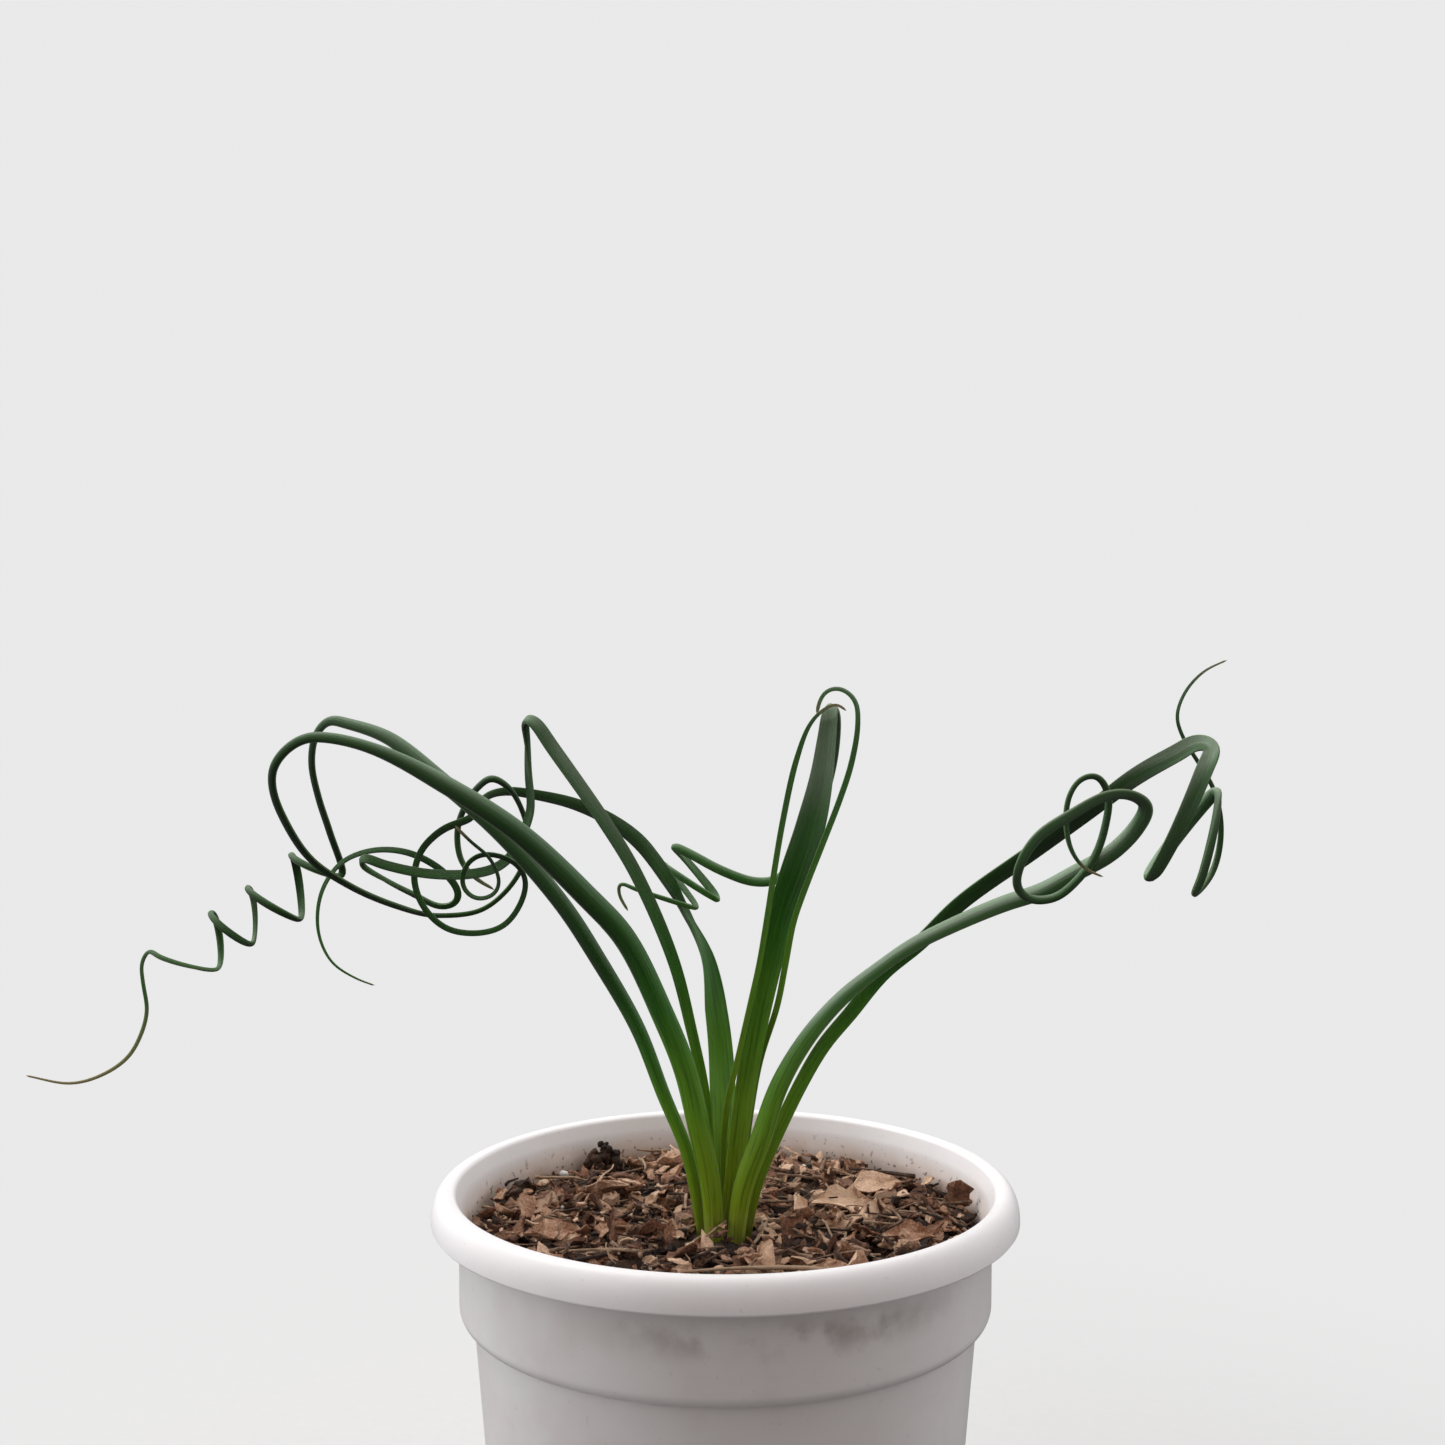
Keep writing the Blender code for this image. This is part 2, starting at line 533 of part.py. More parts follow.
def build_mulch(mats):
    """Throws pieces on the soil one by one, keeping those clear of the crown, the wall and each other."""
    rng = random.Random(MULCH_SEED)
    kinds = ["bark", "leaf_litter", "bark", "leaf_litter", "twig"]
    kept, counts = [], {"bark": 0, "leaf_litter": 0, "twig": 0}
    edge = pot_inner(soil_top) - 2 * GAP
    for _ in range(MULCH_THROWS):
        if len(kept) == MULCH_PIECES:
            break
        kind = kinds[len(kept) % len(kinds)]
        length = rng.uniform(*MULCH_LENGTH[kind])
        width = rng.uniform(*MULCH_WIDTH[kind])
        radius, angle = edge * math.sqrt(rng.random()), rng.uniform(0, 2 * math.pi)
        place = (radius * math.cos(angle), radius * math.sin(angle))
        reach = length / 2 + GAP
        if radius + reach > edge:
            continue
        crown_space = NECK_RADIUS * LEAF_WIDTH_SCALE + CROWN_CLEARANCE
        if math.dist(place, (CROWN_X, CROWN_Y)) < crown_space + reach:
            continue
        if any(math.dist(place, other) < reach + far for other, far in kept):
            continue
        kept.append((place, reach))
        counts[kind] += 1
        name = f"{kind}_{counts[kind]:02d}"
        turn, lean = rng.uniform(0, math.pi), math.radians(rng.uniform(-MULCH_LEAN, MULCH_LEAN))
        mulch_piece(name, kind, place, length, width, turn, lean, mats[kind], rng)


# ---------------------------------------------------------------- build
clear_scene()
build_pot(material("white_plastic", (0.80, 0.78, 0.79), 0.35))
build_soil(material("soil", (0.06, 0.04, 0.03), 0.95))
crown_place = (CROWN_X, CROWN_Y)
bulb_skin = material("bulb_skin", (0.45, 0.38, 0.24), 0.6)
turned("bulb", bulb_profile(0), bulb_skin, crown_place, segments=28)
leaf_green = material("leaf_green", (0.05, 0.14, 0.05), 0.45)
for leaf_name in ROUTES:
    build_leaf(leaf_name, leaf_green)
build_mulch({
    "bark": material("bark", (0.20, 0.12, 0.08), 0.85),
    "leaf_litter": material("dry_leaf", (0.36, 0.25, 0.18), 0.8),
    "twig": material("twig", (0.16, 0.10, 0.07), 0.85),
})
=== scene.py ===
"""Looks of the potted albuca: pot, soil, mulch, bulb and nine curling leaves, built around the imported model.

Metres, +Z up, the pot's underside centred on the origin. Sizes written in millimetres are scaled by MM.
"""

import math

import bmesh
import bpy
import numpy as np
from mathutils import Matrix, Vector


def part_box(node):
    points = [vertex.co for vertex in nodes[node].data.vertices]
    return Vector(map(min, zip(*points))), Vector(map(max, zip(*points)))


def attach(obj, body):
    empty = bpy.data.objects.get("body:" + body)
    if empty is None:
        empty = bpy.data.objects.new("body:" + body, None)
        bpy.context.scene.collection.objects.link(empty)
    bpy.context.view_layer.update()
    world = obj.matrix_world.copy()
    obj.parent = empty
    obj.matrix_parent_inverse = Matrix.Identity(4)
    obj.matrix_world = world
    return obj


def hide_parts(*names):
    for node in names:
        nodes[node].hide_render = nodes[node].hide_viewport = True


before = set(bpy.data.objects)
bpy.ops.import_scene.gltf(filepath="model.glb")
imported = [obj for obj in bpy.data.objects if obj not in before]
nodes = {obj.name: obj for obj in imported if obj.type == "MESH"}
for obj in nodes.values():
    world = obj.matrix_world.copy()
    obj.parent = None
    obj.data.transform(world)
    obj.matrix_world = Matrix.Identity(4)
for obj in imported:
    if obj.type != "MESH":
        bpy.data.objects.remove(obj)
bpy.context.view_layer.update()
MM = 0.001


# ---------------------------------------------------------------- room: camera, floor, studio light
# A plain pale studio: a seamless floor, soft light from above, from behind and from both sides, one window
# lamp, and a dim side behind the camera that shades the pot's front. The floor throws no light back.
class Wire:
    """A node's output that is used like a number: each operator adds one Math node."""

    def __init__(self, tree, socket):
        self.tree, self.socket = tree, socket

    def math(self, operation, *values):
        return add(self.tree, "ShaderNodeMath", {"operation": operation}, dict(enumerate(values)))

    def __add__(self, other):
        return self.math("ADD", self, other)

    def __mul__(self, other):
        return self.math("MULTIPLY", self, other)

    def __sub__(self, other):
        return self.math("SUBTRACT", self, other)

    def __rsub__(self, other):
        return self.math("SUBTRACT", other, self)

    __radd__ = __add__
    __rmul__ = __mul__


def add(tree, kind, settings=None, sockets=None, output=0):
    """Adds a node: its settings first, a ramp's stops among them, then its sockets' values or links."""
    node = tree.nodes.new(kind)
    for name, value in (settings or {}).items():
        if name == "stops":
            while len(node.color_ramp.elements) < len(value):
                node.color_ramp.elements.new(0.5)
            for element, (place, colour) in zip(node.color_ramp.elements, value):
                element.position, element.color = place, (*colour, 1)
        else:
            setattr(node, name, value)
    for slot, value in (sockets or {}).items():
        if isinstance(value, Wire):
            tree.links.new(value.socket, node.inputs[slot])
        elif isinstance(value, tuple) and node.inputs[slot].type == "RGBA":
            node.inputs[slot].default_value = (*value, 1)
        else:
            node.inputs[slot].default_value = value
    return Wire(tree, node.outputs[output])


def mixed(factor, first, second):
    """The first colour turning into the second as the factor goes from 0 to 1."""
    return add(
        factor.tree, "ShaderNodeMix", {"data_type": "RGBA", "clamp_factor": True},
        {0: factor, 6: first, 7: second}, output=2,
    )


def spread(value, low, high):
    """Maps a value from low..high to 0..1, with soft ends."""
    return add(
        value.tree, "ShaderNodeMapRange", {"interpolation_type": "SMOOTHSTEP"},
        {"Value": value, "From Min": low, "From Max": high},
    )


world = bpy.data.worlds.new("studio")
bpy.context.scene.world = world
world.use_nodes = True
sky = world.node_tree
sky.nodes.clear()
direction = add(sky, "ShaderNodeTexCoord", output=0)
split = add(sky, "ShaderNodeSeparateXYZ", None, {0: direction}).socket.node
across, back, upward = (Wire(sky, socket) for socket in split.outputs)
above = spread(upward, -0.15, 0.35)
behind = spread(back, -0.75, 0.25)
left_side = spread(across * -1, 0.2, 1.0)
right_side = spread(across, 0.3, 1.0)
overhead = 0.27 + behind * 0.62 + left_side * 0.55 + right_side * 0.3
glow = 0.06 + above * overhead + left_side * 0.75 + right_side * 0.42
tint = mixed(behind + left_side * 0.9 + right_side * 0.3, (1.0, 0.87, 0.83), (0.985, 0.99, 1.0))
lit = add(sky, "ShaderNodeBackground", None, {"Color": tint, "Strength": glow})
PAPER = (0.82, 0.82, 0.82)
plain = add(sky, "ShaderNodeBackground", None, {"Color": PAPER, "Strength": 1.0})
seen = add(sky, "ShaderNodeLightPath", output=0)
shown = add(sky, "ShaderNodeMixShader", None, {0: seen, 1: lit, 2: plain})
world_end = sky.nodes.new("ShaderNodeOutputWorld")
sky.links.new(shown.socket, world_end.inputs["Surface"])
bpy.context.scene.view_settings.view_transform = "Standard"

camera = bpy.data.objects.new("camera", bpy.data.cameras.new("camera"))
bpy.context.scene.collection.objects.link(camera)
camera.location = (-0.00064, -0.4396, 0.2441)
camera.rotation_euler = (math.radians(86.19), 0, 0)
camera.data.sensor_width = 36
camera.data.lens = 49.83
camera.data.clip_start = 0.01
bpy.context.scene.camera = camera

window = bpy.data.objects.new("window_light", bpy.data.lights.new("window_light", "AREA"))
bpy.context.scene.collection.objects.link(window)
window.data.energy = 4.2
window.data.size = 0.5
window.data.color = (1.0, 0.98, 0.95)
window.location = (-0.45, 0.35, 0.95)
window.rotation_euler = (math.radians(-22), math.radians(-27), 0)

MERGE = 1e-6


def mesh_piece(name, points, faces, material, smooth=True, values=None):
    """A mesh object from points in metres and lists of corners, with equal points merged and its faces
    turned out. values holds named numbers, one for each point, that the material reads back by name."""
    mesh = bpy.data.meshes.new(name)
    mesh.from_pydata(points.reshape(-1, 3), [], faces if isinstance(faces, list) else faces.tolist())
    for label, numbers in (values or {}).items():
        mesh.attributes.new(label, "FLOAT", "POINT").data.foreach_set(
            "value", np.ascontiguousarray(numbers, np.float32).ravel()
        )
    shape = bmesh.new()
    shape.from_mesh(mesh)
    bmesh.ops.remove_doubles(shape, verts=shape.verts, dist=MERGE)
    bmesh.ops.recalc_face_normals(shape, faces=shape.faces)
    shape.to_mesh(mesh)
    shape.free()
    mesh.polygons.foreach_set("use_smooth", np.full(len(mesh.polygons), smooth))
    mesh.materials.append(material)
    piece = bpy.data.objects.new(name, mesh)
    bpy.context.scene.collection.objects.link(piece)
    return piece


def new_tree(name):
    """A new material and its node tree, which holds only a Principled shader and the output."""
    material = bpy.data.materials.new(name)
    material.use_nodes = True
    return material, material.node_tree


def dress(material, colour, roughness, height=None, depth=0.0, **constants):
    """Links colour, roughness and a bump of that depth in metres to the material's Principled shader."""
    tree = material.node_tree
    shader = tree.nodes["Principled BSDF"]
    links = {"Base Color": colour, "Roughness": roughness}
    if height is not None:
        links["Normal"] = add(tree, "ShaderNodeBump", None, {"Distance": depth, "Height": height})
    for slot, value in {**links, **constants}.items():
        slot = slot.replace("_", " ")
        if isinstance(value, Wire):
            tree.links.new(value.socket, shader.inputs[slot])
        else:
            shader.inputs[slot].default_value = value
    return material


def noise(tree, place, scale, detail=3.0, rough=0.5):
    """Smooth noise from 0 to 1 over a place, scale in cycles for each unit of it."""
    return add(
        tree, "ShaderNodeTexNoise", None,
        {"Vector": place, "Scale": scale, "Detail": detail, "Roughness": rough},
    )


FLOOR_RINGS = (0.0, 0.3, 1.0, 2.5, 6.0)
FLOOR_SIDES = 96
FADE_START, FADE_END = 0.12, 0.34
floor_finish, tree = new_tree("pale_floor")
place = add(tree, "ShaderNodeTexCoord", output=3)
distance = add(tree, "ShaderNodeVectorMath", {"operation": "LENGTH"}, {0: place}, output=1)
far = spread(distance, FADE_START, FADE_END)
grain = noise(tree, place, 300.0)
dress(floor_finish, mixed(grain, (0.60, 0.60, 0.60), (0.64, 0.64, 0.64)), 0.9)
glowing = add(tree, "ShaderNodeEmission", None, {"Color": PAPER, "Strength": 1.0})
surface = Wire(tree, tree.nodes["Principled BSDF"].outputs[0])
faded = add(tree, "ShaderNodeMixShader", None, {0: far, 1: surface, 2: glowing})
tree.links.new(faded.socket, tree.nodes["Material Output"].inputs["Surface"])


def full_turn(steps):
    """Equal angles once round, in radians, without the last one, which is the first again."""
    return np.linspace(0, 2 * np.pi, steps + 1)[:-1]


def strips(rows, columns, wrap=True):
    """Faces of a grid of points, rows by columns, closed across the columns when wrap is set."""
    spans = columns if wrap else columns - 1
    row, column = np.meshgrid(np.arange(rows - 1), np.arange(spans), indexing="ij")
    after = (column + 1) % columns
    corners = [row * columns + column, row * columns + after, (row + 1) * columns + after,
               (row + 1) * columns + column]
    return np.stack(corners, -1).reshape(-1, 4)


turn = full_turn(FLOOR_SIDES)
ring = np.array(FLOOR_RINGS)[:, None]
floor_grid = np.stack([ring * np.cos(turn), ring * np.sin(turn), ring * 0 * turn], -1)
floor = mesh_piece("floor", floor_grid, strips(len(FLOOR_RINGS), FLOOR_SIDES), floor_finish)
floor.visible_diffuse = False
floor.visible_glossy = False


# ---------------------------------------------------------------- pot
# A round nursery pot, injection moulded in one piece from thin white plastic: a lip that turns over and
# down, a straight band, a small shoulder and a tapered body with drain holes. It is stained and dusty.
# Below the lip its white is painted darker as shade, darkest in blotches under the lip at the front.
POT_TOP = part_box("pot")[1].z / MM
LIP_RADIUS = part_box("pot")[1].x / MM
LIP_WIDTH = 6.1
LIP_DEPTH = 7.2
LIP_ROUND = (3.4, 6.0)
LIP_EDGE = 0.62
RIM_ROUND = 1.2
BAND_DEPTH = 28.4
STEP = 3.2
STEP_EDGE = 0.35
BASE_RADIUS = 49.5
FOOT_ROUND = 1.2
WALL = 1.6
FLOOR_THICKNESS = 2.0
HOLES = 6
HOLE_RADIUS = 3.5
HOLE_RING = 30.0
HOLE_TURN = 0.37
POT_SEGMENTS = 192
DRILL_SEGMENTS = 32
SHARP = 50
# The band and body colour is the lip's white painted darker as shade; the pot is one white plastic throughout.
LIP_WHITE, BAND_WHITE_IN_SHADE = (0.88, 0.86, 0.87), (0.72, 0.70, 0.70)
# The grime colour on this line is grey grime darkened further with painted shade.
STAIN, GRIME_AND_SHADE, DUST, DIRT = (0.56, 0.50, 0.46), (0.30, 0.265, 0.235), (0.56, 0.38, 0.27), (0.14, 0.08, 0.05)


def bow(centre, radius, start, end, steps):
    """Points of an arc in the profile plane: centre plus radius times cosine and sine of the angle."""
    angle = np.radians(np.linspace(start, end, steps + 1))
    return np.stack([centre[0] + radius * np.cos(angle), centre[1] + radius * np.sin(angle)], 1)


def run(start, end, steps):
    """Evenly spaced points on a straight line of the profile, both ends left out."""
    share = np.linspace(0, 1, steps + 2)[1:-1, None]
    return np.array(start) * (1 - share) + np.array(end) * share


def lip_bow(steps):
    """The lip's outer face: a quarter ellipse, LIP_ROUND wide and tall, that leans in to the flat top."""
    angle = np.radians(np.linspace(-6, 90, steps + 1))
    wide, tall = LIP_ROUND
    return np.stack([LIP_RADIUS - wide * (1 - np.cos(angle)), POT_TOP - tall * (1 - np.sin(angle))], 1)


band = LIP_RADIUS - LIP_WIDTH
step_z = POT_TOP - BAND_DEPTH
body = band - STEP
lip_low = POT_TOP - LIP_DEPTH
inside = band - WALL
foot_in = BASE_RADIUS - WALL
lip_in = LIP_RADIUS - WALL
shoulder_z = step_z + STEP
outline = np.vstack([
    # underside, foot and body
    [(0, 0)], run((0, 0), (BASE_RADIUS - 1, 0), 12),
    bow((BASE_RADIUS - FOOT_ROUND, FOOT_ROUND), FOOT_ROUND, -90, 0, 4),
    run((BASE_RADIUS, FOOT_ROUND), (body, step_z - 0.5), 30),
    # shoulder and band
    bow((body - 0.2, step_z - 0.3), STEP_EDGE, 0, 70, 3), bow((body, shoulder_z), STEP, -70, 0, 10),
    run((band, shoulder_z), (band, lip_low - 1), 8),
    # up under the lip and down its inner face
    [(band, lip_low + 0.2), (band, POT_TOP - 3), (band + 0.8, POT_TOP - WALL),
     (LIP_RADIUS - 2.2, POT_TOP - WALL), (lip_in, POT_TOP - 2.4), (lip_in, lip_low + 0.7)],
    # the lip's edge, face and flat top
    bow((LIP_RADIUS - 0.8, lip_low + 0.6), LIP_EDGE, 180, 360, 8), [(LIP_RADIUS - 0.28, lip_low + 1.3)],
    lip_bow(12), run((LIP_RADIUS - LIP_ROUND[0], POT_TOP), (band + 1.7, POT_TOP - 0.1), 4),
    # over the rim and down the inner wall
    bow((band + 1.7, POT_TOP - 1.3), RIM_ROUND, 88, 172, 7),
    run((band - 0.3, POT_TOP - 2.5), (inside, POT_TOP - 9), 6),
    run((inside, POT_TOP - 9), (inside, shoulder_z), 8), [(inside - STEP * 0.3, step_z + STEP / 2)],
    # inner taper and floor
    run((body - WALL, step_z), (foot_in, FLOOR_THICKNESS + 1), 16), [(foot_in - 1, FLOOR_THICKNESS)],
    run((BASE_RADIUS - 3, FLOOR_THICKNESS), (0, FLOOR_THICKNESS), 8), [(0, FLOOR_THICKNESS)],
])


def lathe(profile, angles):
    """Turns a profile of (radius, height) about the upright axis: radius times cosine and sine."""
    radius, height = profile[:, :1] * MM, profile[:, 1:] * MM
    return np.stack([radius * np.cos(angles), radius * np.sin(angles), height + 0 * angles], -1)


material, tree = new_tree("pot_plastic")
place = add(tree, "ShaderNodeTexCoord", output=3)
parts = add(tree, "ShaderNodeSeparateXYZ", None, {0: place}).socket.node
x, y, z = (Wire(tree, socket) for socket in parts.outputs)
out = add(tree, "ShaderNodeVectorMath", {"operation": "LENGTH"},
          {0: add(tree, "ShaderNodeCombineXYZ", None, {0: x, 1: y})}, output=1)
inner = spread(out, (band - 0.3) * MM, (band - 1.2) * MM) * spread(z, step_z * MM, (POT_TOP - 20) * MM)
clouds = noise(tree, place, 38.0, 4.0, 0.6)
blotch = noise(tree, place, 90.0, 5.0, 0.65)
specks = spread(noise(tree, place, 700.0, 2.0) + inner * 0.07, 0.68, 0.75)
low_inside = inner * spread(z, (POT_TOP - 2.5) * MM, (POT_TOP - 11) * MM)
stain = spread(clouds, 0.42, 0.75) * 0.3 + spread(blotch, 0.5, 0.8) * 0.2
# Painted shade: everything below the lip turns from the lip's white to a darker white.
shade_below_lip = spread(z, (lip_low + 0.5) * MM, (lip_low - 2.5) * MM)
shade = mixed(shade_below_lip, LIP_WHITE, BAND_WHITE_IN_SHADE)
shade = mixed(stain * (0.3 + shade_below_lip * 0.7), shade, STAIN)
# Grey blotches just under the lip at the front: part grime, part painted shade where the lip shades the band.
grime_shade_low = spread(z, (lip_low - 13) * MM, (lip_low - 6) * MM)
grime_shade_high = spread(z, (lip_low - 2) * MM, (lip_low - 6) * MM)
grime_shade_front = spread(y, -30 * MM, -55 * MM) * spread(x, -35 * MM, 0.0)
grime_and_shade = grime_shade_low * grime_shade_high * grime_shade_front * spread(noise(tree, place, 75.0, 4.0, 0.6), 0.36, 0.62)
shade = mixed(grime_and_shade * 0.72, shade, GRIME_AND_SHADE)
shade = mixed(inner * (0.3 + low_inside * spread(blotch, 0.3, 0.7) * 0.5), shade, DUST)
shade = mixed(specks * (0.1 + low_inside * 0.9), shade, DIRT)
gloss = 0.32 + clouds * 0.14 + low_inside * 0.3
dress(material, shade, gloss, noise(tree, place, 260.0, 3.0), 0.00006)

pot_grid = lathe(outline, full_turn(POT_SEGMENTS))
shell = mesh_piece("pot_shell", pot_grid, strips(len(outline), POT_SEGMENTS), material)
drill_profile = np.array([(0, -3), (HOLE_RADIUS, -3), (HOLE_RADIUS, 5), (0, 5)])
hole_turns = 2 * np.pi * (np.arange(HOLES) + HOLE_TURN) / HOLES
hole_places = HOLE_RING * MM * np.stack([np.cos(hole_turns), np.sin(hole_turns), 0 * hole_turns], -1)
drill = lathe(drill_profile, full_turn(DRILL_SEGMENTS)).reshape(1, -1, 3) + hole_places[:, None]


def many(shape_faces, count, points_each):
    """The faces of count equal shapes whose points follow one another."""
    return (shape_faces[None] + (np.arange(count) * points_each)[:, None, None]).reshape(-1, 4)


drill_faces = many(strips(len(drill_profile), DRILL_SEGMENTS), HOLES, len(drill_profile) * DRILL_SEGMENTS)
drills = mesh_piece("drills", drill, drill_faces, material, smooth=False)
cut = shell.modifiers.new("drain_holes", "BOOLEAN")
cut.operation = "DIFFERENCE"
cut.object = drills
bpy.context.view_layer.update()
drilled = bpy.data.meshes.new_from_object(shell.evaluated_get(bpy.context.evaluated_depsgraph_get()))
shell.modifiers.clear()
shell.data = drilled
bpy.data.objects.remove(drills)
drilled.shade_smooth()
drilled.set_sharp_from_angle(angle=math.radians(SHARP))
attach(shell, "root")
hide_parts("pot")


# ---------------------------------------------------------------- soil
# Dark, damp potting mix, filled to a finger's width below the rim and shaped by the pot's wall. It is crumbly
# on top, with a dark clump near the back wall, loose crumbs and a few white perlite grains.
SOIL_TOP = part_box("bulb")[1].z / MM + 0.3
SOIL_GAP = 0.35
SOIL_RINGS, SOIL_SIDES = 60, 180
DOME = 1.0
CLODS, GRIT = (0.5, 14), (0.25, 4)
CROWN = np.array([0.0, -5.0])
rng = np.random.default_rng(5)


def lumps(x, y, size, count, seed):
    """Uneven ground of about -1 to 1: the sum of count plane waves, about one size long, in random
    directions, times the square root of two over count."""
    waves = np.random.default_rng(seed)
    heading = waves.uniform(0, 2 * np.pi, count)
    pace = 2 * np.pi / (size * waves.uniform(0.6, 1.6, count))
    start = waves.uniform(0, 2 * np.pi, count)
    phase = (np.cos(heading) * x[..., None] + np.sin(heading) * y[..., None]) * pace + start
    return np.sin(phase).sum(-1) * math.sqrt(2 / count)


def ground(x, y):
    """Height of the soil in millimetres: a low dome, falling by the square of the radius, plus clods and
    grit, which are given as (height, size)."""
    dome = DOME * (1 - (x * x + y * y) / inside**2)
    clods = CLODS[0] * lumps(x, y, CLODS[1], 14, 1)
    return SOIL_TOP + dome + clods + GRIT[0] * lumps(x, y, GRIT[1], 18, 2)


edge = inside - SOIL_GAP
radius = np.linspace(edge, 0, SOIL_RINGS)[:, None]
turn = full_turn(SOIL_SIDES)
top_x, top_y = radius * np.cos(turn), radius * np.sin(turn)
top_grid = np.stack([top_x, top_y, ground(top_x, top_y)], -1) * MM
wall = np.array([
    (0, FLOOR_THICKNESS + 0.3), (foot_in - 1.5, FLOOR_THICKNESS + 0.3), (foot_in - 0.4, FLOOR_THICKNESS + 2),
    (body - WALL - SOIL_GAP, step_z), (edge - STEP * 0.3, step_z + STEP / 2 + 0.6), (edge, shoulder_z + 0.6),
])
soil_grid = np.concatenate([lathe(wall, turn), top_grid])

material, tree = new_tree("potting_mix")
place = add(tree, "ShaderNodeTexCoord", output=3)
clods, fine = noise(tree, place, 160.0, 4.0, 0.6), noise(tree, place, 900.0, 3.0, 0.7)
colour = mixed(spread(clods, 0.35, 0.7), (0.018, 0.008, 0.004), (0.085, 0.042, 0.024))
colour = mixed(spread(fine, 0.62, 0.75) * 0.6, colour, (0.22, 0.12, 0.07))
dress(material, colour, 0.92, clods + fine * 0.5, 0.0015)
soil = mesh_piece("potting_soil", soil_grid, strips(len(soil_grid), SOIL_SIDES), material)
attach(soil, "root")
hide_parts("soil")


def per_piece(values):
    """One value or place for each piece, shaped to meet that piece's grid of points."""
    return values[:, None, None]


def turned(first, second, angle):
    """Two coordinates turned by each piece's angle, the first towards the second."""
    cosine, sine = per_piece(np.cos(angle)), per_piece(np.sin(angle))
    return first * cosine - second * sine, first * sine + second * cosine


def turned_about(points, spin, lean, roll):
    """Turns each piece's points: rolls about X, leans about Y, then spins about Z, angles for each piece."""
    x, y, z = np.moveaxis(points, -1, 0)
    y, z = turned(y, z, roll)
    z, x = turned(z, x, lean)
    x, y = turned(x, y, spin)
    return np.stack([x, y, z], -1)


def scattered(count, reach, clear):
    """Places in the pot's mouth in millimetres, evenly spread, outside a clear circle round the crown."""
    spots = np.stack([rng.uniform(-reach, reach, count * 3), rng.uniform(-reach, reach, count * 3)], 1)
    fits = (np.hypot(*spots.T) < reach) & (np.hypot(*(spots - CROWN).T) > clear)
    return spots[fits][:count]


CRUMBS = 900
PERLITE = 26
CLUMP = 230
CLUMP_PLACE = (-29.5, 43.5)
CLUMP_RADIUS = 6.0
CLUMP_TALL = 8.5
GRAIN_RINGS, GRAIN_SIDES = 5, 6
GRAIN_POINTS = GRAIN_RINGS * GRAIN_SIDES
ball = np.linspace(0, np.pi, GRAIN_RINGS)[:, None]
turn = full_turn(GRAIN_SIDES)
pebble = np.stack([np.sin(ball) * np.cos(turn), np.sin(ball) * np.sin(turn), np.cos(ball) + 0 * turn], -1)


def pebbles(spots, sizes, sink):
    """Small uneven grains: a coarse ball, each time squashed, knocked out of round and turned."""
    count = len(spots)
    knock = rng.uniform(0.7, 1.15, (count, GRAIN_RINGS, GRAIN_SIDES, 1))
    knock[:, (0, -1)] = knock[:, (0, -1), :1]
    grains = pebble[None] * knock * per_piece(sizes[:, None] * rng.uniform(0.6, 1.0, (count, 3)))
    grains = turned_about(grains, *rng.uniform(0, 2 * np.pi, (3, count)))
    height = ground(*spots.T) + sizes * sink
    return (grains + per_piece(np.column_stack([spots, height]))) * MM


clump_turn = rng.uniform(0, 2 * np.pi, CLUMP)
clump_reach = CLUMP_RADIUS * rng.uniform(0, 1, CLUMP) ** 0.6
clump_oval = np.stack([np.cos(clump_turn), 0.5 * np.sin(clump_turn)], 1)
clump_place = CLUMP_PLACE + clump_reach[:, None] * clump_oval
clump_height = CLUMP_TALL * (1 - (clump_reach / CLUMP_RADIUS) ** 2) * rng.uniform(0.2, 1.0, CLUMP)
spots = np.vstack([scattered(CRUMBS, inside - 2, clear=6.5), clump_place])
sizes = np.append(rng.uniform(0.3, 1.0, CRUMBS), rng.uniform(0.6, 1.5, CLUMP))
sink = np.append(rng.uniform(0.2, 1.2, CRUMBS), clump_height / sizes[CRUMBS:])
grain_faces = strips(GRAIN_RINGS, GRAIN_SIDES)
crumb_points = pebbles(spots, sizes, sink)
crumbs = mesh_piece("soil_crumbs", crumb_points, many(grain_faces, len(spots), GRAIN_POINTS), material)
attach(crumbs, "root")

material, tree = new_tree("perlite")
place = add(tree, "ShaderNodeTexCoord", output=3)
pits = noise(tree, place, 1500.0, 3.0)
dress(material, mixed(pits, (0.62, 0.60, 0.56), (0.88, 0.87, 0.84)), 0.8, pits, 0.0003)
spots = np.vstack([scattered(PERLITE, inside - 3, clear=8.0), [(-39, 37), (-17, -30), (-16, -31.5)]])
sizes = np.append(rng.uniform(0.25, 0.7, PERLITE), (1.3, 1.0, 1.2))
grains = pebbles(spots, sizes, np.append(rng.uniform(1, 3, PERLITE), (2.6, 2.8, 2.8)))
perlite = mesh_piece("perlite_grains", grains, many(grain_faces, len(spots), GRAIN_POINTS), material)
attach(perlite, "root")


# ---------------------------------------------------------------- mulch
# A loose top dressing of torn dead leaves, bark chips and broken twigs, scattered by hand over the soil.
# The leaf scraps are thin, cupped and ragged, the chips are split slabs, and the twigs are bent and broken.
SCRAPS, CHIPS, TWIGS = 1000, 320, 440
SCRAP_ROWS, SCRAP_COLUMNS = 4, 6
SCRAP_POINTS = 2 * SCRAP_ROWS * SCRAP_COLUMNS
SCRAP_THICK = 0.28
EDGE_ROOM = 1.6


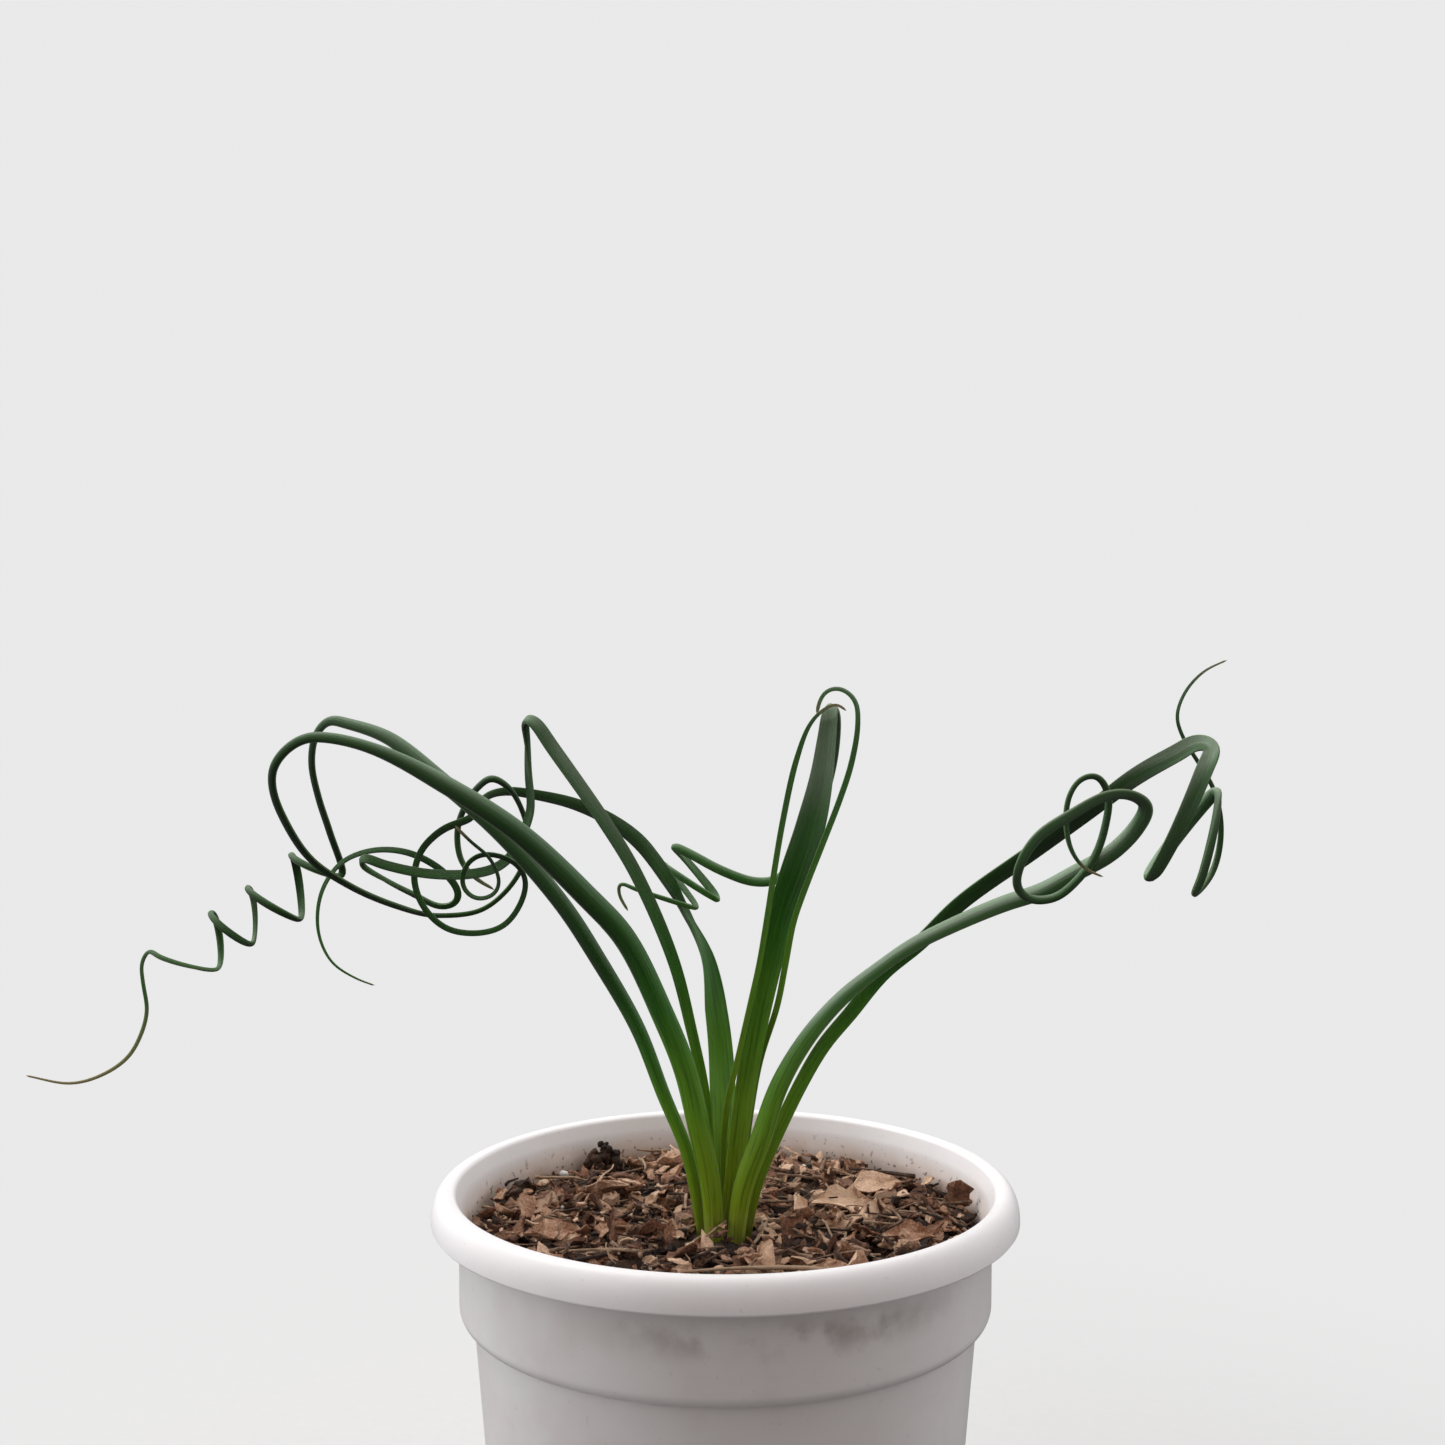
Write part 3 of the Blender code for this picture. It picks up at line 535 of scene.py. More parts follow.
def scraps(spots, length, width, cup, thick, height, angles):
    """Torn flat pieces on a grid of two parameters, along and across. Outline: length and width times a
    ragged ellipse; surface: cupped by the square of across, waved along; two skins, thick apart."""
    count = len(spots)
    along = np.linspace(-1, 1, SCRAP_COLUMNS)[None, None, :]
    across = np.linspace(-1, 1, SCRAP_ROWS)[None, :, None]
    half = np.sqrt(1.02 - along**2 * 0.85) * rng.uniform(0.62, 1.2, (count, SCRAP_ROWS, SCRAP_COLUMNS))
    reach = np.sqrt(1.05 - across**2 * 0.6) * rng.uniform(0.78, 1.15, (count, SCRAP_ROWS, SCRAP_COLUMNS))
    x = along * reach * per_piece(length) / 2
    y = across * half * per_piece(width) / 2
    bend, wave = per_piece(cup), rng.uniform(-0.25, 0.25, (count, 1, 1))
    z = bend * across**2 * per_piece(width) / 2
    z = z + wave * np.sin(along * 2.6 + bend * 9) * per_piece(length) / 3
    z = z + rng.normal(0, 0.14, z.shape) * per_piece(np.minimum(width, 4)) / 4
    skin = per_piece(thick) / 2
    sheet = np.stack([np.stack([x, y, z + skin], -1), np.stack([x, y, z - skin], -1)], 1)
    sheet = turned_about(sheet.reshape(count, 2 * SCRAP_ROWS, SCRAP_COLUMNS, 3), *angles)
    return (sheet + per_piece(np.column_stack([spots, height]))) * MM


def scrap_faces():
    """Faces of one scrap: its upper and lower skins, and the strip that joins them round the edge."""
    grid = np.arange(SCRAP_ROWS * SCRAP_COLUMNS).reshape(SCRAP_ROWS, SCRAP_COLUMNS)
    skin = strips(SCRAP_ROWS, SCRAP_COLUMNS, wrap=False)
    rim = np.concatenate([grid[0, :-1], grid[:-1, -1], grid[-1, :0:-1], grid[:0:-1, 0]])
    below = grid.size
    side = np.stack([rim, np.roll(rim, -1), np.roll(rim, -1) + below, rim + below], -1)
    return np.concatenate([skin, skin[:, ::-1] + below, side])


def room_for(length, spots):
    """Lengths cut down to what fits at each place: a little under twice its distance to the pot's wall."""
    return np.minimum(length, 1.8 * (inside - np.hypot(*spots.T)))


def flat_angles(count, lean):
    """Spins all round, with leans and rolls that spread about level by lean."""
    return rng.uniform(0, 2 * np.pi, count), rng.normal(0, lean, count), rng.normal(0, lean, count)


def brown(name, dark, middle, pale, scale):
    """Dead plant matter: dark, middle and pale by each piece's own tone, mottled by blotches and grain."""
    material, tree = new_tree(name)
    place = add(tree, "ShaderNodeTexCoord", output=3)
    tone = add(tree, "ShaderNodeAttribute", {"attribute_name": "tone"}, output=2)
    blotch, grain = noise(tree, place, scale, 4.0, 0.65), noise(tree, place, scale * 7, 3.0, 0.7)
    lightness = spread(tone + (blotch - 0.5) * 0.95 + (grain - 0.5) * 0.7, 0.0, 1.0)
    stops = [(0.0, dark), (0.45, middle), (1.0, pale)]
    colour = add(tree, "ShaderNodeValToRGB", {"stops": stops}, {0: lightness})
    colour = mixed(spread(grain, 0.66, 0.8) * 0.6, colour, tuple(c * 0.35 for c in middle))
    return dress(material, colour, 0.72 + grain * 0.2, blotch * 0.5 + grain, 0.0007)


def mulch_piece(name, points, faces, each, tones, material, prefix, smooth=False):
    """Makes a group of mulch pieces one mesh with a tone for each, in place of the CAD nodes of its kind."""
    values = {"tone": np.repeat(tones, each)}
    piece = mesh_piece(name, points, faces, material, smooth=smooth, values=values)
    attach(piece, "root")
    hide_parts(*[node for node in sorted(nodes) if node.startswith(prefix)])


def by_hand(names, rows):
    """The pieces placed one by one, as one array for each named column."""
    return dict(zip(names.split(), np.array(rows).T))


def with_angles(free, placed):
    """Spin, lean and roll of the free pieces, each followed by those of the listed pieces."""
    return [np.append(angles, placed[name]) for angles, name in zip(free, ("spin", "lean", "roll"))]


loose = scattered(SCRAPS, inside - EDGE_ROOM, clear=9.5)
placed = by_hand("across back length width cup lift spin lean roll tone", [
    (27, 10, 15, 9, 0.35, 3.6, 0.3, 0.1, 0.5, 0.95), (17, 3, 9, 7, 0.5, 3.4, 1.1, 0.3, 0.6, 0.98),
    (35, 22, 13, 8, 0.3, 3.6, 0.2, -0.2, 0.4, 0.75), (-28, 18, 15, 8, 0.3, 3.4, 2.5, 0.3, 0.5, 0.6),
    (-38, -12, 12, 8, 0.3, 3.2, 0.4, 0.2, 0.3, 0.55), (53, 9, 10, 7, 0.3, 5.0, 1.5, 1.15, 0.3, 0.35),
    (-9, -26, 9, 7, 0.5, 3.2, 0.8, 0.3, -0.5, 0.3), (-22, -8, 12, 6, 0.4, 3.0, 2.8, 0.2, 0.4, 0.7),
    (40, -14, 11, 7, 0.4, 3.2, 0.2, 0.1, 0.4, 0.5), (-50, 4, 10, 6, 0.4, 3.4, 1.3, 0.5, 0.3, 0.6),
    (8, 40, 13, 7, 0.4, 3.6, 0.3, 0.3, 0.5, 0.5), (-12, 38, 12, 6, 0.4, 3.4, 2.7, 0.2, 0.6, 0.55),
    (22, -36, 12, 7, 0.3, 2.8, 0.1, 0.1, 0.4, 0.7), (-30, -34, 12, 7, 0.3, 2.8, 2.6, 0.1, 0.3, 0.55),
])
spots = np.vstack([loose, np.column_stack([placed["across"], placed["back"]])])
count, free = len(spots), len(loose)
length = np.append(room_for(rng.gamma(4, 1.1, free).clip(1.8, 10), loose), placed["length"])
width = np.append(length[:free] * rng.uniform(0.3, 0.85, free), placed["width"])
cup = np.append(rng.normal(0, 0.45, free).clip(-0.8, 0.9), placed["cup"])
height = ground(*spots.T) + np.append(rng.uniform(0.5, 3.6, free), placed["lift"])
angles = with_angles(flat_angles(free, lean=0.5), placed)
tones = np.append(rng.beta(2.3, 1.8, free), placed["tone"])
points = scraps(spots, length, width, cup, np.full(count, SCRAP_THICK), height, angles)
faces = many(scrap_faces(), count, SCRAP_POINTS)
dry_leaf = brown("dry_leaf", (0.035, 0.012, 0.005), (0.34, 0.155, 0.082), (0.80, 0.55, 0.38), 260.0)
mulch_piece("dry_leaf_scraps", points, faces, SCRAP_POINTS, tones, dry_leaf, "leaf_litter")

loose = scattered(CHIPS, inside - EDGE_ROOM, clear=8.0)
spots = np.vstack([loose, [(44, -4), (43, -6.5), (-44, -20)]])
count = len(spots)
length = room_for(rng.gamma(6, 0.9, count).clip(2.5, 9), spots)
width = length * rng.uniform(0.35, 0.7, count)
thick = rng.uniform(0.7, 1.5, count)
cup = rng.normal(0, 0.12, count)
height = ground(*spots.T) + rng.uniform(0.6, 3.0, count)
points = scraps(spots, length, width, cup, thick, height, flat_angles(count, lean=0.3))
faces = many(scrap_faces(), count, SCRAP_POINTS)
tones = rng.beta(1.6, 2.2, count)
bark = brown("bark_chip", (0.020, 0.007, 0.003), (0.20, 0.085, 0.044), (0.52, 0.33, 0.22), 420.0)
mulch_piece("bark_chips", points, faces, SCRAP_POINTS, tones, bark, "bark")

TWIG_RINGS, TWIG_SIDES = 7, 5
TWIG_POINTS = TWIG_RINGS * TWIG_SIDES


def twigs(spots, length, thick, curve, height, angles):
    """Thin sticks: a five-sided ring carried along a shallow arc with small kinks, thinner at one end."""
    count = len(spots)
    along = np.linspace(-1, 1, TWIG_RINGS)[None, :, None]
    around = full_turn(TWIG_SIDES)[None, None]
    girth = per_piece(thick) / 2 * (1 - 0.35 * along) * rng.uniform(0.8, 1.1, (count, TWIG_RINGS, 1))
    kink = np.cumsum(rng.normal(0, 0.05, (count, TWIG_RINGS, 1)), 1) * per_piece(length) / 2
    x = along * per_piece(length) / 2 + 0 * around
    y = per_piece(curve) * along**2 * per_piece(length) / 2 + kink + girth * np.cos(around)
    z = kink * 0.4 + girth * np.sin(around)
    stick = turned_about(np.stack([x, y, z], -1), *angles)
    return (stick + per_piece(np.column_stack([spots, height]))) * MM


placed = by_hand("across back length thick curve lift spin lean roll tone", [
    (10, -38, 34, 1.0, 0.22, 4.0, 3.05, 0.04, 0.1, 0.9), (-50, 16, 14, 1.1, 0.1, 4.2, 2.1, 0.42, 0, 0.3),
    (-18, -42, 22, 0.8, -0.2, 3.4, 0.35, 0.05, 0.2, 0.8), (38, 30, 20, 0.9, 0.1, 4.2, 2.4, 0.1, 0, 0.2),
    (-36, 26, 18, 0.8, 0.2, 4.2, 0.5, 0.1, 0, 0.75), (30, -28, 20, 0.7, 0.3, 3.6, 0.6, 0.05, 0, 0.65),
    (-26, -24, 17, 0.8, 0.2, 4.0, 2.9, 0.1, 0, 0.85), (20, 30, 15, 0.7, 0.2, 4.2, 0.1, 0.1, 0, 0.5),
])
loose = scattered(TWIGS, inside - EDGE_ROOM, clear=7.5)
spots = np.vstack([loose, np.column_stack([placed["across"], placed["back"]])])
count, free = len(spots), len(loose)
length = np.append(room_for(rng.uniform(4, 14, free), loose), placed["length"])
thick = np.append(rng.uniform(0.3, 0.9, free), placed["thick"])
curve = np.append(rng.normal(0, 0.18, free), placed["curve"])
height = ground(*spots.T) + np.append(rng.uniform(0.8, 3.9, free), placed["lift"])
angles = with_angles(flat_angles(free, lean=0.14), placed)
tones = np.append(rng.beta(1.6, 1.8, free), placed["tone"])
points = twigs(spots, length, thick, curve, height, angles)
tubes = many(strips(TWIG_RINGS, TWIG_SIDES), count, TWIG_POINTS).tolist()
first_ring = np.arange(count)[:, None] * TWIG_POINTS + np.arange(TWIG_SIDES)
caps = np.concatenate([first_ring, first_ring + TWIG_POINTS - TWIG_SIDES]).tolist()
twig = brown("twig_wood", (0.026, 0.012, 0.007), (0.20, 0.105, 0.060), (0.58, 0.40, 0.26), 500.0)
mulch_piece("broken_twigs", points, tubes + caps, TWIG_POINTS, tones, twig, "twig", smooth=True)


# ---------------------------------------------------------------- bulb
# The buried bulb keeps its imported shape: a round body in dry, papery tunics under a flat-topped neck, from
# which the leaves grow. At most the neck's rim is seen, between the leaf feet and the mulch.
material, tree = new_tree("papery_tunic")
place = add(tree, "ShaderNodeTexCoord", output=3)
stretched = add(tree, "ShaderNodeVectorMath", {"operation": "MULTIPLY"}, {0: place, 1: (1.0, 1.0, 0.12)})
fibre, patch = noise(tree, stretched, 1400.0, 3.0), noise(tree, place, 220.0)
colour = mixed(patch, (0.13, 0.15, 0.035), (0.30, 0.24, 0.11))
colour = mixed(spread(fibre, 0.55, 0.7) * 0.5, colour, (0.10, 0.07, 0.04))
dress(material, colour, 0.6 + fibre * 0.2, fibre, 0.0003)
nodes["bulb"].data.materials.clear()
nodes["bulb"].data.materials.append(material)


# ---------------------------------------------------------------- leaves
# Nine fleshy, channelled leaves of one bulb, each grown as one piece: yellow-green at the foot, dark green
# and waxy above, then thinning into arches, loops and corkscrews that end in a fine, often dry, point.

# Each leaf's route from its foot at the crown, in millimetres: across, back and up.
ROUTES = {
    "leaf_left_corkscrew": [
        (-4.7, -1.5, 0), (-6.5, -1.5, 11.5), (-8.5, -2, 21), (-13.5, -2, 33.5), (-19, -2, 48),
        (-27.5, -3, 63.5), (-35.5, -3, 76), (-48.5, -2, 91), (-62.5, 1, 103), (-74, 5, 111.5),
        (-84, 9, 114.5), (-88.5, 11, 115), (-92, 13, 111.5), (-93.5, 15, 105), (-92.5, 17, 97),
        (-90.5, 19, 89),
    ],
    "leaf_left_arch": [
        (-2.3, -4.4, 0), (-3.1, -4.6, 13), (-5.5, -6, 26), (-8.5, -8, 40), (-13, -11, 52.5),
        (-21, -14, 70), (-29, -16, 79.5), (-43, -19, 93.5), (-59, -22, 104.5), (-71.5, -23, 111),
        (-81, -22, 113.5), (-87, -21, 113.5), (-91.5, -20, 111), (-94.5, -19, 107),
        (-95, -17, 101.5), (-92.5, -15, 94), (-88.5, -11, 86.5), (-81.5, -5, 80), (-73, 5, 74),
        (-65, 16, 70), (-56, 20, 70.5), (-50, 21, 75), (-46, 21, 81.5), (-45, 19, 89),
        (-46.5, 16, 95.5), (-49, 13, 100), (-52.5, 12, 102), (-55.5, 13.5, 100), (-59, 17.2, 95.5),
        (-61.3, 19, 89.5), (-60.5, 18.5, 82.5), (-57, 17, 78.5), (-52.5, 16, 76),
    ],
    "leaf_sharp_bend": [
        (-2.8, 1.4, 0), (-3.5, 0, 20.5), (-4.5, -2, 33.5), (-7.5, -3, 48), (-11.5, -3, 63.5),
        (-19.5, -2, 82), (-26.5, -1, 93.5), (-38, 2, 109.5), (-42, 3, 115), (-44, 5, 115.5),
        (-44, 7, 112), (-43.5, 7, 103), (-43, 7, 95.5), (-44.5, 7, 90.5), (-47, 8, 85.5),
        (-51, 9, 82), (-57, 9, 80.5), (-67, 10, 80.5), (-76.5, 10, 82.5), (-81, 10.5, 84),
        (-82, 12.5, 82.5), (-77.5, 14, 79), (-70.5, 16, 75), (-65, 18, 72), (-61.5, 18, 73),
        (-61, 17.5, 75.5), (-64.5, 16, 80.5), (-71.5, 15, 84.5), (-79.5, 16, 85),
        (-86.5, 17, 82.5), (-90.5, 17, 78), (-92.5, 17, 72.5), (-92.5, 17, 65.5),
        (-89.5, 16, 59.5), (-84, 15, 56), (-79.5, 14, 54.5),
    ],
    "leaf_ribbon_spiral": [
        (-0.5, 4.4, 0), (-0.5, 8, 22.5), (-1, 14, 37.5), (-2, 16, 47), (-4.5, 20, 60.5),
        (-9, 21.5, 69.5), (-12.5, 17, 77), (-19, 19, 86), (-26.5, 21, 91.5), (-34.5, 22, 95),
        (-43.5, 23, 97), (-50, 21.5, 98), (-54.3, 18.5, 97.2), (-56.3, 16, 94.8), (-57.2, 14.6, 92.8),
        (-59.5, 13.6, 91.8), (-62.5, 13, 90.8), (-65.8, 13, 88.5), (-68.7, 13, 85), (-70, 12, 79),
        (-67.5, 11, 72.5), (-62.5, 11, 68), (-55.5, 11, 67),
        (-49.5, 10, 69), (-45.5, 9, 74.5), (-44.5, 8, 79.5), (-46.5, 6, 83.5), (-50.5, 5, 85.5),
        (-54.5, 5, 85.5), (-57.5, 4, 83), (-58, 4, 78.5), (-55, 3, 76), (-51, 2, 77),
        (-49.5, 1, 80), (-51.5, 0, 85.5), (-55.5, 0, 89), (-59, 0, 92.5),
    ],
    "leaf_broad_folded": [
        (0.4, -1.4, 0), (2.3, -3, 19), (5.2, -5, 41), (8.8, -6.4, 60), (12.2, -7, 74.5),
        (14.6, -7, 82), (18, -7, 92.5), (20.4, -7, 103), (21.7, -7, 112.5), (22.3, -7, 117.5),
        (23, -4.5, 118.8), (23.4, -2, 116.5), (23, 1, 107), (20.5, 5, 95.5), (16.5, 9, 85),
        (12, 12, 79), (6.5, 14, 78), (-1, 15, 80.5), (-8, 17, 84),
    ],
    "leaf_thin_left": [
        (-0.2, 1.4, 0), (-0.5, 0, 12), (-0.3, -1.5, 24), (0.6, -4.6, 33), (2.4, -7, 41.5), (5.6, -8.4, 56),
        (7.3, -9.2, 64), (9, -9.8, 74.5), (10.4, -10.3, 84), (12.2, -11.2, 95), (15, -12, 108),
        (18, -13, 116), (21, -13, 119), (23.5, -13, 120), (25.5, -13, 118.5),
    ],
    "leaf_thin_right": [
        (2.2, 1.4, 0), (4.2, 0, 18.5), (7.4, -2.6, 40.5), (11.2, -6, 54), (12.9, -8.2, 63.5),
        (14.6, -9.3, 73), (16.9, -10, 80), (21.2, -11.5, 91.5), (24.2, -12, 99.5), (26.6, -12, 107),
        (28, -12, 115.5), (27.5, -11, 120.5), (24.5, -10, 123), (21.5, -9.5, 122.5), (20, -9, 120),
        (19.5, -9, 117.5),
    ],
    "leaf_right_loops": [
        (2.1, -4.4, 0), (3.6, -6, 13), (7.3, -8, 24.5), (11.5, -10, 37.5), (17.5, -12, 48.5),
        (24.5, -13, 57), (32, -14, 63.5), (39.5, -15, 69), (49.5, -15, 74), (59, -15, 78),
        (66.5, -15, 80.5), (73.5, -16, 84.5), (81, -17, 89), (86, -18, 94.5), (87.5, -20, 99),
        (84, -22, 101.5), (78.5, -24, 101.5), (71, -25, 97.5), (64.5, -25, 93), (61, -24, 87),
        (61, -21, 82), (64.5, -18, 79), (69.5, -17.5, 79.5), (74, -18, 83.5), (77.5, -18, 88.5),
        (79.5, -18, 95), (80, -18, 101), (77.5, -19, 105), (74, -20, 104.5), (71.5, -21, 101),
        (71, -21, 95), (72, -22, 90), (74.5, -22, 86.5), (78.5, -22, 84.5),
    ],
    "leaf_right_coil": [
        (4.2, -0.8, 0), (6.8, -1, 13), (11.5, -1, 25), (17, -2, 37), (21.5, -3, 45), (27, -4, 52),
        (34, -5, 61), (42, -6, 68), (50.5, -6, 76.5), (66, -5, 87.5), (78, -4, 96),
        (88.5, -3, 103.5), (97.5, -3, 108.5), (102, -4, 111),
    ],
}

# Corkscrews: the turning points that the strand swings between, and how far it swings to the front.
TURNS = {
    "leaf_left_corkscrew": (4.5, [
        (-88, 24, 78), (-100.5, 25, 83), (-98, 23, 68), (-110.5, 24, 75.5), (-109, 22, 62.5),
        (-118.5, 22, 70), (-116.5, 20, 57), (-132, 19, 62),
    ]),
    "leaf_broad_folded": (-3.0, [
        (-12.5, 18, 86), (-1.5, 19, 73), (-15, 25, 81), (-6.3, 17.5, 71.5), (-24.5, 15, 78),
    ]),
    "leaf_right_coil": (4.0, [
        (105, -5, 111), (91.5, -5, 81.5), (107, -2, 100.5), (101.5, -3, 77.5),
    ]),
}

# The free ends after the corkscrews.
ENDS = {
    "leaf_left_corkscrew": [
        (-133.5, 18, 59), (-133, 17, 54), (-132, 16, 48.5), (-133, 15, 43.5), (-136, 14, 38),
        (-142, 13, 34), (-148.5, 12, 32.5), (-158, 11, 34.5),
    ],
    "leaf_broad_folded": [(-24, 14, 75), (-22, 14, 71.5)],
    "leaf_right_coil": [
        (106, 0, 81.5), (108, 1, 87), (108.5, 1.5, 94), (107, 2, 100.5), (104, 3, 106),
        (101, 4, 111), (99.5, 5, 116), (101.5, 6, 121.5), (105.5, 6, 126), (110.5, 6, 128.5),
    ],
}

# Width of each leaf as (share of its length, millimetres), and its turn about itself as (share, degrees).
WIDTHS = {
    "leaf_left_corkscrew": [
        (0, 2.4), (0.08, 3.0), (0.2, 3.8), (0.33, 4.2), (0.4, 2.9), (0.46, 2.1), (0.78, 1.7),
        (0.93, 1.1), (1, 0.4),
    ],
    "leaf_left_arch": [
        (0, 4.2), (0.1, 5.0), (0.3, 5.2), (0.4, 4.2), (0.45, 2.6), (0.68, 2.0), (0.77, 1.3),
        (0.86, 1.3), (0.9, 1.8), (0.97, 1.6), (1, 0.6),
    ],
    "leaf_sharp_bend": [
        (0, 2.2), (0.12, 2.2), (0.25, 2.9), (0.4, 3.3), (0.5, 2.4), (0.68, 2.2), (0.82, 1.5), (1, 0.4),
    ],
    "leaf_ribbon_spiral": [
        (0, 3.6), (0.13, 6.0), (0.2, 5.2), (0.28, 3.0), (0.38, 3.6), (0.5, 2.2), (0.62, 1.5), (0.85, 1.2),
        (1, 0.7),
    ],
    "leaf_broad_folded": [
        (0, 3.8), (0.08, 4.2), (0.18, 4.8), (0.25, 5.6), (0.31, 6.8), (0.35, 6.4), (0.39, 4.8),
        (0.43, 3.6), (0.48, 3.2), (0.6, 2.4), (0.78, 2.0), (0.9, 1.6), (1, 0.6),
    ],
    "leaf_thin_left": [(0, 1.2), (0.3, 1.3), (0.85, 1.3), (1, 0.5)],
    "leaf_thin_right": [(0, 1.2), (0.3, 1.4), (0.8, 1.3), (1, 0.8)],
    "leaf_right_loops": [
        (0, 3.8), (0.1, 4.6), (0.3, 3.0), (0.42, 3.8), (0.56, 3.8), (0.66, 3.2), (0.74, 1.9), (0.95, 1.4),
        (1, 0.4),
    ],
    "leaf_right_coil": [
        (0, 2.4), (0.1, 3.2), (0.38, 4.0), (0.5, 4.0), (0.6, 3.5), (0.7, 3.2), (0.8, 2.4),
        (0.86, 1.1), (0.97, 0.7), (1, 0.35),
    ],
}
TWISTS = {
    "leaf_left_corkscrew": [(0, 190), (0.3, 215), (1, 215)],
    "leaf_left_arch": [(0, 180), (0.3, 215), (1, 215)],
    "leaf_sharp_bend": [(0, 0), (0.3, 25), (1, 25)],
    "leaf_ribbon_spiral": [(0, 0), (0.2, 10), (0.28, 75), (0.36, 0), (1, 0)],
    "leaf_broad_folded": [(0, 0), (1, 0)],
    "leaf_thin_left": [(0, 0), (1, 0)],
    "leaf_thin_right": [(0, 0), (1, 0)],
    "leaf_right_loops": [(0, 180), (0.3, 145), (1, 145)],
    "leaf_right_coil": [(0, 0), (0.3, 20), (0.42, 20), (0.5, -30), (1, -30)],
}

# The pale waxy coat, raised as a painted sheen where the leaf turns up to the light, as (share, strength),
# then the share from which each tip is dry, and how dry it gets.
BLOOM_AND_SHEEN = {
    "leaf_left_corkscrew": [(0, 0), (0.25, 0.3), (0.36, 0.8), (0.45, 0.3), (0.6, 0.3), (1, 0.3)],
    "leaf_left_arch": [
        (0, 0), (0.2, 0.1), (0.33, 0.45), (0.4, 0.9), (0.5, 0.3), (0.7, 0.2), (1, 0.6),
    ],
    "leaf_sharp_bend": [(0, 0), (0.2, 0.2), (0.32, 0.9), (0.4, 1.3), (0.45, 0.35), (1, 0.4)],
    "leaf_ribbon_spiral": [(0, 0), (0.2, 0.35), (0.35, 0.5), (0.6, 0.3), (1, 0.5)],
    "leaf_broad_folded": [
        (0, 0), (0.3, 0.1), (0.35, 1.8), (0.39, 8.5), (0.42, 8.5), (0.45, 0.9), (1, 0.7),
    ],
    "leaf_thin_left": [(0, 0), (0.5, 0.2), (0.7, 1.2), (1, 1.6)],
    "leaf_thin_right": [(0, 0), (0.5, 0.2), (0.7, 1.2), (1, 1.6)],
    "leaf_right_loops": [
        (0, 0), (0.15, 0.3), (0.25, 2.4), (0.4, 2.8), (0.5, 1.6), (0.65, 2.4), (0.75, 1.0), (1, 0.4),
    ],
    "leaf_right_coil": [
        (0, 0), (0.2, 0.4), (0.42, 0.3), (0.49, 2.6), (0.55, 2.0), (0.7, 1.5), (0.85, 0.4), (1, 0.4),
    ],
}
DRY = {
    "leaf_left_corkscrew": (0.9, 1.0), "leaf_left_arch": (0.97, 0.5), "leaf_sharp_bend": (0.99, 0.4),
    "leaf_ribbon_spiral": (0.985, 0.8), "leaf_broad_folded": (0.97, 0.5), "leaf_thin_left": (0.94, 1.0),
    "leaf_thin_right": (0.97, 0.5), "leaf_right_loops": (0.975, 0.8), "leaf_right_coil": (0.97, 0.5),
}

# How much further up than usual each leaf keeps the fresh yellow-green of its foot, as a share.
FRESH = {
    "leaf_left_corkscrew": -0.25, "leaf_left_arch": 0.0, "leaf_sharp_bend": 0.1, "leaf_ribbon_spiral": 0.03,
    "leaf_broad_folded": 0.25, "leaf_thin_left": 0.45, "leaf_thin_right": 0.45, "leaf_right_loops": 0.03,
    "leaf_right_coil": 0.08,
}
TURN_SAMPLES = 5
LEAF_STEP = 0.7
ROUNDING = 1.1
FACE_EASE = 0.25 / 3.0
GREEN_RISE = 100.0
# The shade green on the next line is painted shade for the sides of a leaf that face down.
DARK_GREEN, PALE_GREEN, SHADE_GREEN = (0.012, 0.055, 0.003), (0.20, 0.36, 0.05), (0.003, 0.014, 0.002)
# The first colour on the next line is a pale waxy coat that also serves as a painted sheen; the second is a
# painted highlight along the leaf edges.
WAX_AND_SHEEN, RIM_HIGHLIGHT_GREEN, DRY_TAN = (0.25, 0.34, 0.235), (0.32, 0.42, 0.24), (0.33, 0.26, 0.14)
SECTION_POINTS = 40
RIBS, RIB_HEIGHT = 9, 0.035
THIN_WIDTH = 1.2
WIDTH_BLEND = 19
INNER_REACH = 0.75
ROUND_FROM = 0.25
TURN_ROUND = 0.62
crown = np.array([*CROWN, SOIL_TOP])


def swing(turning, reach):
    """Half-turns of a corkscrew: a cosine ease from one turning point to the next, bowing front and back by
    turns by the sine of the same share."""
    turning = np.array(turning, float)
    share = (np.arange(TURN_SAMPLES) + 0.5)[None, :, None] / TURN_SAMPLES
    points = turning[:-1, None] + (turning[1:] - turning[:-1])[:, None] * (1 - np.cos(np.pi * share)) / 2
    side = np.where(np.arange(len(turning) - 1) % 2 == 0, -1.0, 1.0)[:, None]
    points[..., 1] += side * reach * np.sin(np.pi * share[..., 0])
    return points.reshape(-1, 3)


